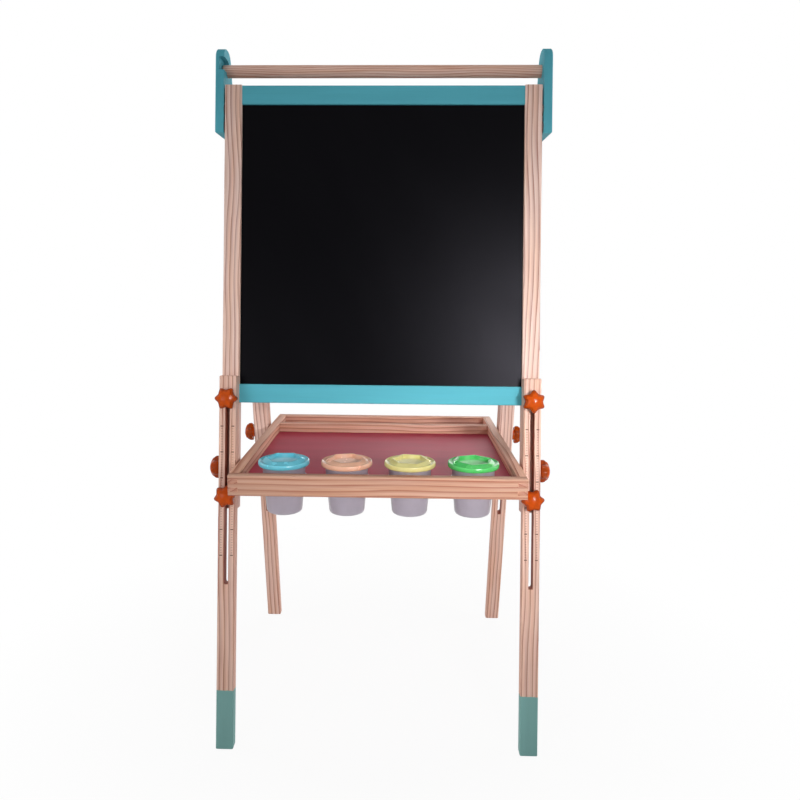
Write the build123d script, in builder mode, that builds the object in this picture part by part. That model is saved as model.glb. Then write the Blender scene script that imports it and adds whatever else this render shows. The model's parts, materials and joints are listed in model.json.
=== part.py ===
"""Kids easel: two leaning board frames hinged under a paper-roll bar, telescoping legs and a paint tray."""

import os
from math import cos, radians, sin, tan

from build123d import *

# Driving dimensions in millimetres. +Z is up, -Y is the chalkboard side, and the origin is
# on the floor midway between the two frames.
LEAN = 10.0
FRAME_TOP_Z = 1058.0
FRAME_TOP_Y = 32.0
CLEAR_WIDTH = 460.0
BAR_WIDTH = 28.0
BAR_DEPTH = 18.0
BAR_ROUND = 2.0
END_ROUND = 1.5

# Along a frame every height is a distance s from its top end.
UPRIGHT_LENGTH = 692.0
TOP_RAIL_HEIGHT = 31.0
LOWER_RAIL_S = 488.0
LOWER_RAIL_HEIGHT = 30.5
RAIL_DEPTH = 14.0
RAIL_RECESS = 2.0
BOARD_THICKNESS = 4.0
BOARD_RECESS = 6.0
BOARD_TONGUE = 6.0
GROOVE_CLEARANCE = 0.15

LEG_TOP_S = 475.0
LEG_GAP = 0.2
FOOT_CHAMFER = 1.0
SLOT_WIDTH = 7.0
SLOT_BELOW_UPRIGHT = 119.0
SLOT_END_CLEARANCE = 0.6
UPPER_BOLT_S = 512.0
LOWER_BOLT_ABOVE_END = 24.0
BOLT_RADIUS = 3.0
RUNNING_FIT = 0.06
CARRIAGE_HEAD_RADIUS = 7.0
CARRIAGE_HEAD_HEIGHT = 3.2
CARRIAGE_HEAD_TAPER = 40.0
WASHER_RADIUS = 9.0
WASHER_THICKNESS = 1.4
WASHER_GAP = 0.1

RAIL_BOLT_S = (15.5, 501.0)
RAIL_BOLT_LENGTH = 62.0
RAIL_HEAD_RADIUS = 5.5
RAIL_HEAD_HEIGHT = 3.2
BARREL_RADIUS = 5.0
BARREL_LENGTH = 12.0
BARREL_INSET = 25.0
BORE_CLEARANCE = 0.1

KNOB_POINT_RADIUS = 20.0
KNOB_VALLEY_RADIUS = 13.4
KNOB_POINTS = 6
KNOB_TIP_ROUND = 2.5
KNOB_VALLEY_ROUND = 4.0
KNOB_HEIGHT = 20.0
KNOB_EDGE_HEIGHT = 12.5
KNOB_TOP_RADIUS = 10.0
KNOB_BOSS_RADIUS = 10.0
KNOB_BOSS_HEIGHT = 3.5
BOLT_IN_KNOB = 13.0
KNOB_BORE_DEPTH = 14.0

PLATE_GAP = 2.0
PLATE_THICKNESS = 14.0
PLATE_BELOW_FRAME_TOP = 77.0
PLATE_ABOVE_FRAME_TOP = 61.0
PLATE_TOP_ROUND = 20.0
PLATE_BOTTOM_ROUND = 3.0
PLATE_EDGE_ROUND = 1.5
PLATE_SCREW_S = (38.0, 66.0)
PLATE_SCREW_RADIUS = 2.5
PLATE_SCREW_HEAD_RADIUS = 5.0
PLATE_SCREW_HEAD_HEIGHT = 2.8
PLATE_SCREW_DEPTH = 17.0
PIVOT_S = 46.0
PIVOT_RADIUS = 4.0
PIVOT_HEAD_RADIUS = 8.0
PIVOT_HEAD_HEIGHT = 4.5
PIVOT_DEPTH = 18.0
HINGE_WASHER_RADIUS = 9.0

ROLL_BAR_RADIUS = 10.0
ROLL_BAR_ABOVE_FRAME_TOP = 28.0
ROLL_BAR_CLEARANCE = 0.5
ROLL_SLOT_DEPTH = 8.0
ROLL_SLOT_DROP = 7.0

TRAY_SIDE_GAP = 5.0
TRAY_HALF_DEPTH = 234.0
TRAY_RAIL = 15.0
TRAY_HEIGHT = 32.0
TRAY_PIVOT_ABOVE_END = 67.0
TRAY_FINGERS = 5
PANEL_THICKNESS = 4.0
PANEL_TOP_ABOVE_PIVOT = -2.0
PANEL_TONGUE = 5.0
TROUGH_DEPTH = 67.0
DIVIDER_THICKNESS = 12.0
STUD_IN_TRAY = 9.0
STUD_BORE_IN_TRAY = 9.5
SPACER_RADIUS = 8.0
SPACER_CLEARANCE = 0.2

CUP_PITCH_SHARE = 0.2365
CUP_INSET = 44.0
CUP_HOLE_RADIUS = 33.4
CUP_BASE_RADIUS = 28.0
CUP_NECK_RADIUS = 32.6
CUP_SHOULDER_RADIUS = 36.0
CUP_SHOULDER_HEIGHT = 2.0
CUP_RIM_RADIUS = 34.2
CUP_WALL = 1.6
CUP_BELOW_PANEL = 55.5
CUP_ABOVE_PANEL = 25.0
LID_RADIUS = 40.2
LID_SKIRT_DROP = 4.5
LID_FIT = 0.5
LID_PLATE = 2.4
LID_COLLAR_RADIUS = 32.0
LID_COLLAR_WALL = 2.8
LID_COLLAR_HEIGHT = 4.0
LID_DISH_RADIUS = 25.0
LID_FUNNEL_DEPTH = 10.0
LID_TUBE_RADIUS = 8.0
LID_TUBE_LENGTH = 14.0
LID_WALL = 1.6
LID_NOTCH_WIDTH = 9.0
LID_NOTCH_DEPTH = 3.0
LID_TURN = {"blue": 4.0, "peach": 15.0, "yellow": -8.0, "green": 20.0}

# Values that follow from the driving dimensions.
BAR_X = CLEAR_WIDTH / 2 + BAR_WIDTH / 2
OUTER_X = CLEAR_WIDTH / 2 + BAR_WIDTH
PLATE_IN = OUTER_X + PLATE_GAP
PLATE_OUT = PLATE_IN + PLATE_THICKNESS
PLATE_BOTTOM_Z = FRAME_TOP_Z - PLATE_BELOW_FRAME_TOP
PLATE_TOP_Z = FRAME_TOP_Z + PLATE_ABOVE_FRAME_TOP
ROLL_BAR_Z = FRAME_TOP_Z + ROLL_BAR_ABOVE_FRAME_TOP
LEG_BOLT_S = (UPPER_BOLT_S, UPRIGHT_LENGTH - LOWER_BOLT_ABOVE_END)
SLOT_END_S = UPRIGHT_LENGTH + SLOT_BELOW_UPRIGHT
TRAY_PIVOT_S = UPRIGHT_LENGTH - TRAY_PIVOT_ABOVE_END
BOARD_HEIGHT = LOWER_RAIL_S - TOP_RAIL_HEIGHT
MID_DEPTH = -BAR_DEPTH / 2
LEG_FACE = LEG_GAP + BAR_DEPTH
WASHER_BASE = LEG_FACE + WASHER_GAP
KNOB_BASE = WASHER_BASE + WASHER_THICKNESS + WASHER_GAP
SIDE_KNOB_X = OUTER_X + WASHER_GAP
BOLT_TIP = KNOB_BASE + BOLT_IN_KNOB
FRONT = Plane((0, -FRAME_TOP_Y, FRAME_TOP_Z), x_dir=(1, 0, 0), z_dir=(0, -cos(radians(LEAN)), sin(radians(LEAN))))
REAR = Plane((0, FRAME_TOP_Y, FRAME_TOP_Z), x_dir=(-1, 0, 0), z_dir=(0, cos(radians(LEAN)), sin(radians(LEAN))))
FRAMES = {"front": FRONT, "rear": REAR}
SIDES = {"left": -1, "right": 1}
PIVOT_POINT = FRONT.from_local_coords((0, -TRAY_PIVOT_S, MID_DEPTH))
TRAY_PIVOT_Y = PIVOT_POINT.Y
TRAY_PIVOT_Z = PIVOT_POINT.Z
TRAY_BOTTOM_Z = TRAY_PIVOT_Z - TRAY_HEIGHT / 2
TRAY_TOP_Z = TRAY_PIVOT_Z + TRAY_HEIGHT / 2
PANEL_TOP_Z = TRAY_PIVOT_Z + PANEL_TOP_ABOVE_PIVOT
TRAY_WIDTH = CLEAR_WIDTH - 2 * TRAY_SIDE_GAP
TRAY_INNER_X = TRAY_WIDTH / 2 - TRAY_RAIL
TRAY_INNER_Y = TRAY_HALF_DEPTH - TRAY_RAIL
DIVIDER_Y = TRAY_INNER_Y - TROUGH_DEPTH - DIVIDER_THICKNESS / 2
FINGER_HEIGHT = TRAY_HEIGHT / TRAY_FINGERS
CUP_PITCH = 2 * TRAY_INNER_X * CUP_PITCH_SHARE
CUP_X = [(i - 1.5) * CUP_PITCH for i in range(4)]
CUP_Y = CUP_INSET - TRAY_INNER_Y
CUP_RIM_Z = PANEL_TOP_Z + CUP_ABOVE_PANEL

os.makedirs("parts", exist_ok=True)


def save(builder, name):
    """Label a finished piece and write its STEP file."""
    builder.part.label = name
    export_step(builder.part, f"parts/{name}.step")


def frame_x(frame, sign):
    """A world side of -1 or 1 as the sign of x in a frame's own plane."""
    return sign * frame.x_dir.X


def down_plane(frame, x, s, depth):
    """A plane across a frame member, with its normal running down the frame."""
    return Plane(frame.from_local_coords((x, -s, depth)), x_dir=frame.x_dir, z_dir=-frame.y_dir)


def side_plane(frame, x, s, depth=MID_DEPTH):
    """A plane across the width of a frame, with its normal pointing away from the middle."""
    outward = frame.x_dir if x > 0 else -frame.x_dir
    return Plane(frame.from_local_coords((x, -s, depth)), x_dir=frame.y_dir, z_dir=outward)


def face_plane(frame, x, s, depth):
    """A plane parallel to a frame's face, with its normal pointing out of the easel."""
    return Plane(frame.from_local_coords((x, -s, depth)), x_dir=frame.x_dir, z_dir=frame.z_dir)


def axial_plane(base):
    """A plane through the axis of another plane, with that axis as its own y."""
    return Plane(base.origin, x_dir=base.x_dir, z_dir=-base.y_dir)


def board_pocket(frame):
    """The outline of the groove around a board."""
    with BuildSketch(frame.offset(GROOVE_CLEARANCE - BOARD_RECESS)) as pocket:
        with Locations((0, -(TOP_RAIL_HEIGHT + LOWER_RAIL_S) / 2)):
            Rectangle(
                CLEAR_WIDTH + 2 * (BOARD_TONGUE + GROOVE_CLEARANCE),
                BOARD_HEIGHT + 2 * (BOARD_TONGUE + GROOVE_CLEARANCE),
            )
    return pocket.sketch


def star_outline(base, turn):
    """The outline of a hand knob: a star with rounded points and hollows."""
    corners = []
    for i in range(2 * KNOB_POINTS):
        radius = KNOB_VALLEY_RADIUS if i % 2 else KNOB_POINT_RADIUS
        angle = radians(turn + 180 * i / KNOB_POINTS)
        corners.append((radius * cos(angle), radius * sin(angle)))
    with BuildSketch(base.offset(KNOB_BOSS_HEIGHT)) as outline:
        with BuildLine():
            Polyline(*corners, close=True)
        make_face()
        by_radius = outline.vertices().sort_by(lambda corner: Vector(corner).length)
        fillet(by_radius[KNOB_POINTS:], KNOB_TIP_ROUND)
        hollows = outline.vertices().sort_by(lambda corner: Vector(corner).length)[:KNOB_POINTS]
        fillet(hollows, KNOB_VALLEY_ROUND)
    return outline.sketch


def knob_envelope(base):
    """The half section that slopes the top of a hand knob down towards its points."""
    with BuildSketch(axial_plane(base)) as section:
        with BuildLine():
            Polyline(
                (0, 0),
                (KNOB_POINT_RADIUS, 0),
                (KNOB_POINT_RADIUS, KNOB_EDGE_HEIGHT),
                (KNOB_TOP_RADIUS, KNOB_HEIGHT),
                (0, KNOB_HEIGHT),
                close=True,
            )
        make_face()
    return section.sketch


def make_knob(base, turn, name):
    """A star knob with a blind bore, standing on a base plane."""
    with BuildPart() as knob:
        extrude(star_outline(base, turn), amount=KNOB_HEIGHT - KNOB_BOSS_HEIGHT)
        with BuildSketch(base):
            Circle(KNOB_BOSS_RADIUS)
        extrude(amount=KNOB_HEIGHT / 2)
        revolve(knob_envelope(base), axis=Axis(base.origin, base.z_dir), mode=Mode.INTERSECT)
        with BuildSketch(base):
            Circle(BOLT_RADIUS + RUNNING_FIT)
        extrude(amount=KNOB_BORE_DEPTH, mode=Mode.SUBTRACT)
    save(knob, name)


# Frame members: two uprights, two rails and a board in each leaning frame.
for end, frame in FRAMES.items():
    for side, sign in SIDES.items():
        x = frame_x(frame, sign) * BAR_X
        outer_x = frame_x(frame, sign) * OUTER_X
        hinge_bores = [(s, PLATE_SCREW_RADIUS + BORE_CLEARANCE, PLATE_SCREW_DEPTH) for s in PLATE_SCREW_S]
        if end == "rear":
            hinge_bores = [(PIVOT_S, PIVOT_RADIUS + BORE_CLEARANCE, PIVOT_DEPTH)]
        with BuildPart() as upright:
            with BuildSketch(down_plane(frame, x, 0, MID_DEPTH)):
                RectangleRounded(BAR_WIDTH, BAR_DEPTH, BAR_ROUND)
            extrude(amount=UPRIGHT_LENGTH)
            chamfer(upright.faces().filter_by(GeomType.PLANE).sort_by(Axis.Z)[0].edges(), END_ROUND)
            extrude(board_pocket(frame), amount=-(BOARD_THICKNESS + 2 * GROOVE_CLEARANCE), mode=Mode.SUBTRACT)
            with Locations([face_plane(frame, x, s, 0).location for s in LEG_BOLT_S]):
                Hole(BOLT_RADIUS + BORE_CLEARANCE, BAR_DEPTH)
            with Locations(side_plane(frame, outer_x, TRAY_PIVOT_S).location):
                Hole(BOLT_RADIUS + RUNNING_FIT, BAR_WIDTH)
            with Locations([side_plane(frame, outer_x, s).location for s in RAIL_BOLT_S]):
                CounterBoreHole(
                    BOLT_RADIUS + BORE_CLEARANCE,
                    RAIL_HEAD_RADIUS + BORE_CLEARANCE,
                    RAIL_HEAD_HEIGHT + BORE_CLEARANCE,
                    BAR_WIDTH,
                )
            for s, radius, depth in hinge_bores:
                with Locations(side_plane(frame, outer_x, s).location):
                    Hole(radius, depth + BORE_CLEARANCE)
        save(upright, f"{end}_{side}_upright")

    rails = {
        "top": (TOP_RAIL_HEIGHT / 2, TOP_RAIL_HEIGHT, RAIL_BOLT_S[0]),
        "lower": (LOWER_RAIL_S + LOWER_RAIL_HEIGHT / 2, LOWER_RAIL_HEIGHT, RAIL_BOLT_S[1]),
    }
    for level, (middle, height, bolt_s) in rails.items():
        with BuildPart() as rail:
            with BuildSketch(Plane(
                frame.from_local_coords((-CLEAR_WIDTH / 2, -middle, MID_DEPTH)),
                x_dir=frame.y_dir,
                z_dir=frame.x_dir,
            )):
                RectangleRounded(height, RAIL_DEPTH, BAR_ROUND)
            extrude(amount=CLEAR_WIDTH)
            extrude(board_pocket(frame), amount=-(BOARD_THICKNESS + 2 * GROOVE_CLEARANCE), mode=Mode.SUBTRACT)
            with Locations([side_plane(frame, x, bolt_s).location for x in (-CLEAR_WIDTH / 2, CLEAR_WIDTH / 2)]):
                Hole(BOLT_RADIUS + BORE_CLEARANCE, RAIL_BOLT_LENGTH - BAR_WIDTH + 4)
            barrel_x = CLEAR_WIDTH / 2 - BARREL_INSET
            for x in (-barrel_x, barrel_x):
                with BuildSketch(face_plane(frame, x, bolt_s, -RAIL_RECESS - RAIL_DEPTH)):
                    Circle(BARREL_RADIUS + BORE_CLEARANCE)
                extrude(amount=BARREL_LENGTH + BORE_CLEARANCE, mode=Mode.SUBTRACT)
        save(rail, f"{end}_{level}_rail")

    with BuildPart() as board:
        with BuildSketch(frame.offset(-BOARD_RECESS)):
            with Locations((0, -(TOP_RAIL_HEIGHT + LOWER_RAIL_S) / 2)):
                Rectangle(CLEAR_WIDTH + 2 * BOARD_TONGUE, BOARD_HEIGHT + 2 * BOARD_TONGUE)
        extrude(amount=-BOARD_THICKNESS)
    save(board, "chalkboard" if end == "front" else "whiteboard")

    # Bolts through the uprights into barrel nuts hidden in the rails.
    with BuildPart() as fasteners:
        for bolt_s in RAIL_BOLT_S:
            for turn in (-1, 1):
                with BuildSketch(face_plane(frame, turn * barrel_x, bolt_s, -RAIL_RECESS - RAIL_DEPTH)):
                    Circle(BARREL_RADIUS)
                extrude(amount=BARREL_LENGTH)
                seat = side_plane(frame, turn * (OUTER_X - RAIL_HEAD_HEIGHT), bolt_s)
                with Locations(seat.location):
                    Hole(BOLT_RADIUS + BORE_CLEARANCE, RAIL_BOLT_LENGTH)
                with BuildSketch(seat):
                    Circle(RAIL_HEAD_RADIUS)
                extrude(amount=RAIL_HEAD_HEIGHT)
                with BuildSketch(seat):
                    Circle(BOLT_RADIUS)
                extrude(amount=-RAIL_BOLT_LENGTH)
    save(fasteners, f"{end}_rail_fasteners")

# Telescoping legs, each slotted around the two bolts that clamp it to its upright.
for end, frame in FRAMES.items():
    for side, sign in SIDES.items():
        x = frame_x(frame, sign) * BAR_X
        slot_top = LEG_BOLT_S[0] - BOLT_RADIUS - SLOT_END_CLEARANCE
        with BuildPart() as leg:
            with BuildSketch(down_plane(frame, x, LEG_TOP_S, LEG_GAP + BAR_DEPTH / 2)):
                RectangleRounded(BAR_WIDTH, BAR_DEPTH, BAR_ROUND)
            extrude(amount=FRAME_TOP_Z)
            chamfer(leg.faces().filter_by(GeomType.PLANE).sort_by(Axis.Z)[-1].edges(), END_ROUND)
            split(bisect_by=Plane.XY, keep=Keep.TOP)
            chamfer(leg.faces().sort_by(Axis.Z)[0].edges(), FOOT_CHAMFER)
            with BuildSketch(frame.offset(LEG_GAP)):
                with Locations((x, -(slot_top + SLOT_END_S) / 2)):
                    SlotOverall(SLOT_END_S - slot_top, SLOT_WIDTH, rotation=90)
            extrude(amount=BAR_DEPTH, mode=Mode.SUBTRACT)
        save(leg, f"{end}_{side}_leg")

    with BuildPart() as leg_bolts:
        for x in (-BAR_X, BAR_X):
            for s in LEG_BOLT_S:
                with BuildSketch(face_plane(frame, x, s, -BAR_DEPTH)):
                    Circle(BOLT_RADIUS)
                extrude(amount=BAR_DEPTH + BOLT_TIP)
                with BuildSketch(face_plane(frame, x, s, -BAR_DEPTH)):
                    Circle(CARRIAGE_HEAD_RADIUS)
                extrude(amount=-CARRIAGE_HEAD_HEIGHT, taper=CARRIAGE_HEAD_TAPER)
    save(leg_bolts, f"{end}_leg_bolts")

    with BuildPart() as leg_washers:
        for x in (-BAR_X, BAR_X):
            for s in LEG_BOLT_S:
                with BuildSketch(face_plane(frame, x, s, WASHER_BASE)):
                    Circle(WASHER_RADIUS)
                    Circle(BOLT_RADIUS + BORE_CLEARANCE, mode=Mode.SUBTRACT)
                extrude(amount=WASHER_THICKNESS)
    save(leg_washers, f"{end}_leg_washers")

# Star knobs: two on each leg, and one outside each upright at tray height.
LEG_KNOB_TURN = {"left": (0.0, 15.0), "right": (30.0, 5.0)}
for end, frame in FRAMES.items():
    for side, sign in SIDES.items():
        x = frame_x(frame, sign) * BAR_X
        for level, s, turn in zip(("upper", "lower"), LEG_BOLT_S, LEG_KNOB_TURN[side]):
            make_knob(face_plane(frame, x, s, KNOB_BASE), turn, f"{end}_{side}_{level}_knob")
        outer_x = frame_x(frame, sign) * SIDE_KNOB_X
        base = side_plane(frame, outer_x, TRAY_PIVOT_S)
        make_knob(base, 0.0, f"{end}_{side}_tray_knob")

        stud_end = TRAY_WIDTH / 2 - STUD_IN_TRAY if end == "front" else TRAY_WIDTH / 2 + SPACER_CLEARANCE
        with BuildPart() as stud:
            with BuildSketch(base.offset(BOLT_IN_KNOB)):
                Circle(BOLT_RADIUS)
            extrude(amount=-(BOLT_IN_KNOB + SIDE_KNOB_X - stud_end))
        save(stud, f"{end}_{side}_tray_stud")

    with BuildPart() as spacers:
        for sign in SIDES.values():
            inner_face = side_plane(frame, sign * (TRAY_WIDTH / 2 + SPACER_CLEARANCE), TRAY_PIVOT_S)
            with BuildSketch(inner_face):
                Circle(SPACER_RADIUS)
                Circle(BOLT_RADIUS + BORE_CLEARANCE, mode=Mode.SUBTRACT)
            extrude(amount=(CLEAR_WIDTH - TRAY_WIDTH) / 2 - SPACER_CLEARANCE - WASHER_GAP)
    save(spacers, f"{end}_tray_spacers")

# Side plates that carry the frames and the paper-roll bar: the right one has a blind hole for the bar, and the
# left one a hooked slot that is open in front.
for side, sign in SIDES.items():
    inner = Plane((sign * PLATE_IN, 0, 0), x_dir=(0, 1, 0), z_dir=(1, 0, 0))
    bottom_y = FRAME_TOP_Y + (FRAME_TOP_Z - PLATE_BOTTOM_Z) * tan(radians(LEAN))
    top_y = FRAME_TOP_Y - (PLATE_TOP_Z - FRAME_TOP_Z) * tan(radians(LEAN))
    with BuildPart() as plate:
        with BuildSketch(inner) as outline:
            with BuildLine():
                Polyline(
                    (-bottom_y, PLATE_BOTTOM_Z),
                    (bottom_y, PLATE_BOTTOM_Z),
                    (top_y, PLATE_TOP_Z),
                    (-top_y, PLATE_TOP_Z),
                    close=True,
                )
            make_face()
            fillet(outline.vertices().group_by(Axis.Y)[-1], PLATE_TOP_ROUND)
            fillet(outline.vertices().group_by(Axis.Y)[0], PLATE_BOTTOM_ROUND)
        extrude(amount=sign * PLATE_THICKNESS)
        chamfer(plate.faces().sort_by(Axis.X)[-1 if sign > 0 else 0].edges(), PLATE_EDGE_ROUND)
        with BuildSketch(inner):
            slot_width = 2 * (ROLL_BAR_RADIUS + ROLL_BAR_CLEARANCE)
            with Locations((0, ROLL_BAR_Z)):
                Circle(slot_width / 2)
            if side == "left":
                with Locations((0, ROLL_BAR_Z + ROLL_SLOT_DROP)):
                    Circle(slot_width / 2)
                with Locations((0, ROLL_BAR_Z + ROLL_SLOT_DROP / 2)):
                    Rectangle(slot_width, ROLL_SLOT_DROP)
                with Locations((-bottom_y / 2, ROLL_BAR_Z + ROLL_SLOT_DROP)):
                    Rectangle(bottom_y, slot_width)
        extrude(amount=sign * ROLL_SLOT_DEPTH, mode=Mode.SUBTRACT)
        with Locations([side_plane(FRONT, sign * PLATE_OUT, s).location for s in PLATE_SCREW_S]):
            CounterBoreHole(
                PLATE_SCREW_RADIUS + BORE_CLEARANCE,
                PLATE_SCREW_HEAD_RADIUS + BORE_CLEARANCE,
                PLATE_SCREW_HEAD_HEIGHT,
                PLATE_THICKNESS,
            )
        with Locations(side_plane(REAR, -sign * PLATE_OUT, PIVOT_S).location):
            CounterBoreHole(
                PIVOT_RADIUS + RUNNING_FIT,
                PIVOT_HEAD_RADIUS + SPACER_CLEARANCE,
                PIVOT_HEAD_HEIGHT + SPACER_CLEARANCE,
                PLATE_THICKNESS,
            )
    save(plate, f"{side}_side_plate")

with BuildPart() as plate_screws:
    for sign in SIDES.values():
        for s in PLATE_SCREW_S:
            seat = side_plane(FRONT, sign * (PLATE_OUT - PLATE_SCREW_HEAD_HEIGHT), s)
            with BuildSketch(seat):
                Circle(PLATE_SCREW_HEAD_RADIUS)
            extrude(amount=PLATE_SCREW_HEAD_HEIGHT)
            with BuildSketch(seat):
                Circle(PLATE_SCREW_RADIUS)
            extrude(amount=-(PLATE_OUT - PLATE_SCREW_HEAD_HEIGHT - OUTER_X + PLATE_SCREW_DEPTH))
save(plate_screws, "plate_screws")

with BuildPart() as pivot_bolts:
    for sign in SIDES.values():
        seat = side_plane(REAR, sign * (PLATE_OUT - PIVOT_HEAD_HEIGHT), PIVOT_S)
        with BuildSketch(seat):
            Circle(PIVOT_HEAD_RADIUS)
        extrude(amount=PIVOT_HEAD_HEIGHT)
        with BuildSketch(seat):
            Circle(PIVOT_RADIUS)
        extrude(amount=-(PLATE_OUT - PIVOT_HEAD_HEIGHT - OUTER_X + PIVOT_DEPTH))
save(pivot_bolts, "pivot_bolts")

with BuildPart() as hinge_washers:
    for sign in SIDES.values():
        seats = [(FRONT, s, PLATE_SCREW_RADIUS) for s in PLATE_SCREW_S] + [(REAR, PIVOT_S, PIVOT_RADIUS)]
        for frame, s, radius in seats:
            with BuildSketch(side_plane(frame, sign * (OUTER_X + WASHER_GAP), s)):
                Circle(HINGE_WASHER_RADIUS)
                Circle(radius + BORE_CLEARANCE, mode=Mode.SUBTRACT)
            extrude(amount=PLATE_IN - OUTER_X - 2 * WASHER_GAP)
save(hinge_washers, "hinge_washers")

with BuildPart() as roll_bar:
    half_length = PLATE_IN + ROLL_SLOT_DEPTH - ROLL_BAR_CLEARANCE
    with BuildSketch(Plane((-half_length, 0, ROLL_BAR_Z), x_dir=(0, 1, 0), z_dir=(1, 0, 0))):
        Circle(ROLL_BAR_RADIUS)
    extrude(amount=2 * half_length)
    chamfer(roll_bar.edges().filter_by(GeomType.CIRCLE), END_ROUND)
save(roll_bar, "paper_roll_bar")

# The tray: four box-jointed rails, a divider and a panel with four cup holes.
finger_z = [TRAY_BOTTOM_Z + (i + 0.5) * FINGER_HEIGHT for i in range(TRAY_FINGERS)]
panel_pocket = (
    2 * (TRAY_INNER_X + PANEL_TONGUE + GROOVE_CLEARANCE),
    2 * (TRAY_INNER_Y + PANEL_TONGUE + GROOVE_CLEARANCE),
    PANEL_THICKNESS + 2 * GROOVE_CLEARANCE,
)
for end, sign in (("front", -1), ("back", 1)):
    with BuildPart() as cross_rail:
        with Locations((0, sign * (TRAY_HALF_DEPTH - TRAY_RAIL / 2), TRAY_PIVOT_Z)):
            Box(TRAY_WIDTH, TRAY_RAIL, TRAY_HEIGHT)
        for z in finger_z[1::2]:
            with Locations([(x, sign * (TRAY_HALF_DEPTH - TRAY_RAIL / 2), z) for x in (
                -TRAY_WIDTH / 2 + TRAY_RAIL / 2, TRAY_WIDTH / 2 - TRAY_RAIL / 2)]):
                Box(TRAY_RAIL, TRAY_RAIL, FINGER_HEIGHT, mode=Mode.SUBTRACT)
        with Locations((0, 0, PANEL_TOP_Z - PANEL_THICKNESS / 2)):
            Box(*panel_pocket, mode=Mode.SUBTRACT)
    save(cross_rail, f"tray_{end}_rail")

for side, sign in SIDES.items():
    with BuildPart() as side_rail:
        with Locations((sign * (TRAY_WIDTH / 2 - TRAY_RAIL / 2), 0, TRAY_PIVOT_Z)):
            Box(TRAY_RAIL, 2 * TRAY_HALF_DEPTH, TRAY_HEIGHT)
        for z in finger_z[0::2]:
            with Locations([(sign * (TRAY_WIDTH / 2 - TRAY_RAIL / 2), y, z) for y in (
                -TRAY_HALF_DEPTH + TRAY_RAIL / 2, TRAY_HALF_DEPTH - TRAY_RAIL / 2)]):
                Box(TRAY_RAIL, TRAY_RAIL, FINGER_HEIGHT, mode=Mode.SUBTRACT)
        with Locations((0, 0, PANEL_TOP_Z - PANEL_THICKNESS / 2)):
            Box(*panel_pocket, mode=Mode.SUBTRACT)
        with Locations([side_plane(frame, frame_x(frame, sign) * TRAY_WIDTH / 2, TRAY_PIVOT_S).location
                        for frame in FRAMES.values()]):
            Hole(BOLT_RADIUS + RUNNING_FIT, STUD_BORE_IN_TRAY)
    save(side_rail, f"tray_{side}_rail")

with BuildPart() as divider:
    with Locations((0, DIVIDER_Y, (PANEL_TOP_Z + TRAY_TOP_Z) / 2)):
        Box(2 * TRAY_INNER_X, DIVIDER_THICKNESS, TRAY_TOP_Z - PANEL_TOP_Z)
    fillet(divider.faces().sort_by(Axis.Z)[-1].edges().filter_by(Axis.X), END_ROUND)
save(divider, "tray_divider")

with BuildPart() as panel:
    with Locations((0, 0, PANEL_TOP_Z - PANEL_THICKNESS / 2)):
        Box(2 * (TRAY_INNER_X + PANEL_TONGUE), 2 * (TRAY_INNER_Y + PANEL_TONGUE), PANEL_THICKNESS)
    with Locations([(x, CUP_Y, PANEL_TOP_Z) for x in CUP_X]):
        Hole(CUP_HOLE_RADIUS, PANEL_THICKNESS)
save(panel, "tray_panel")

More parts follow.
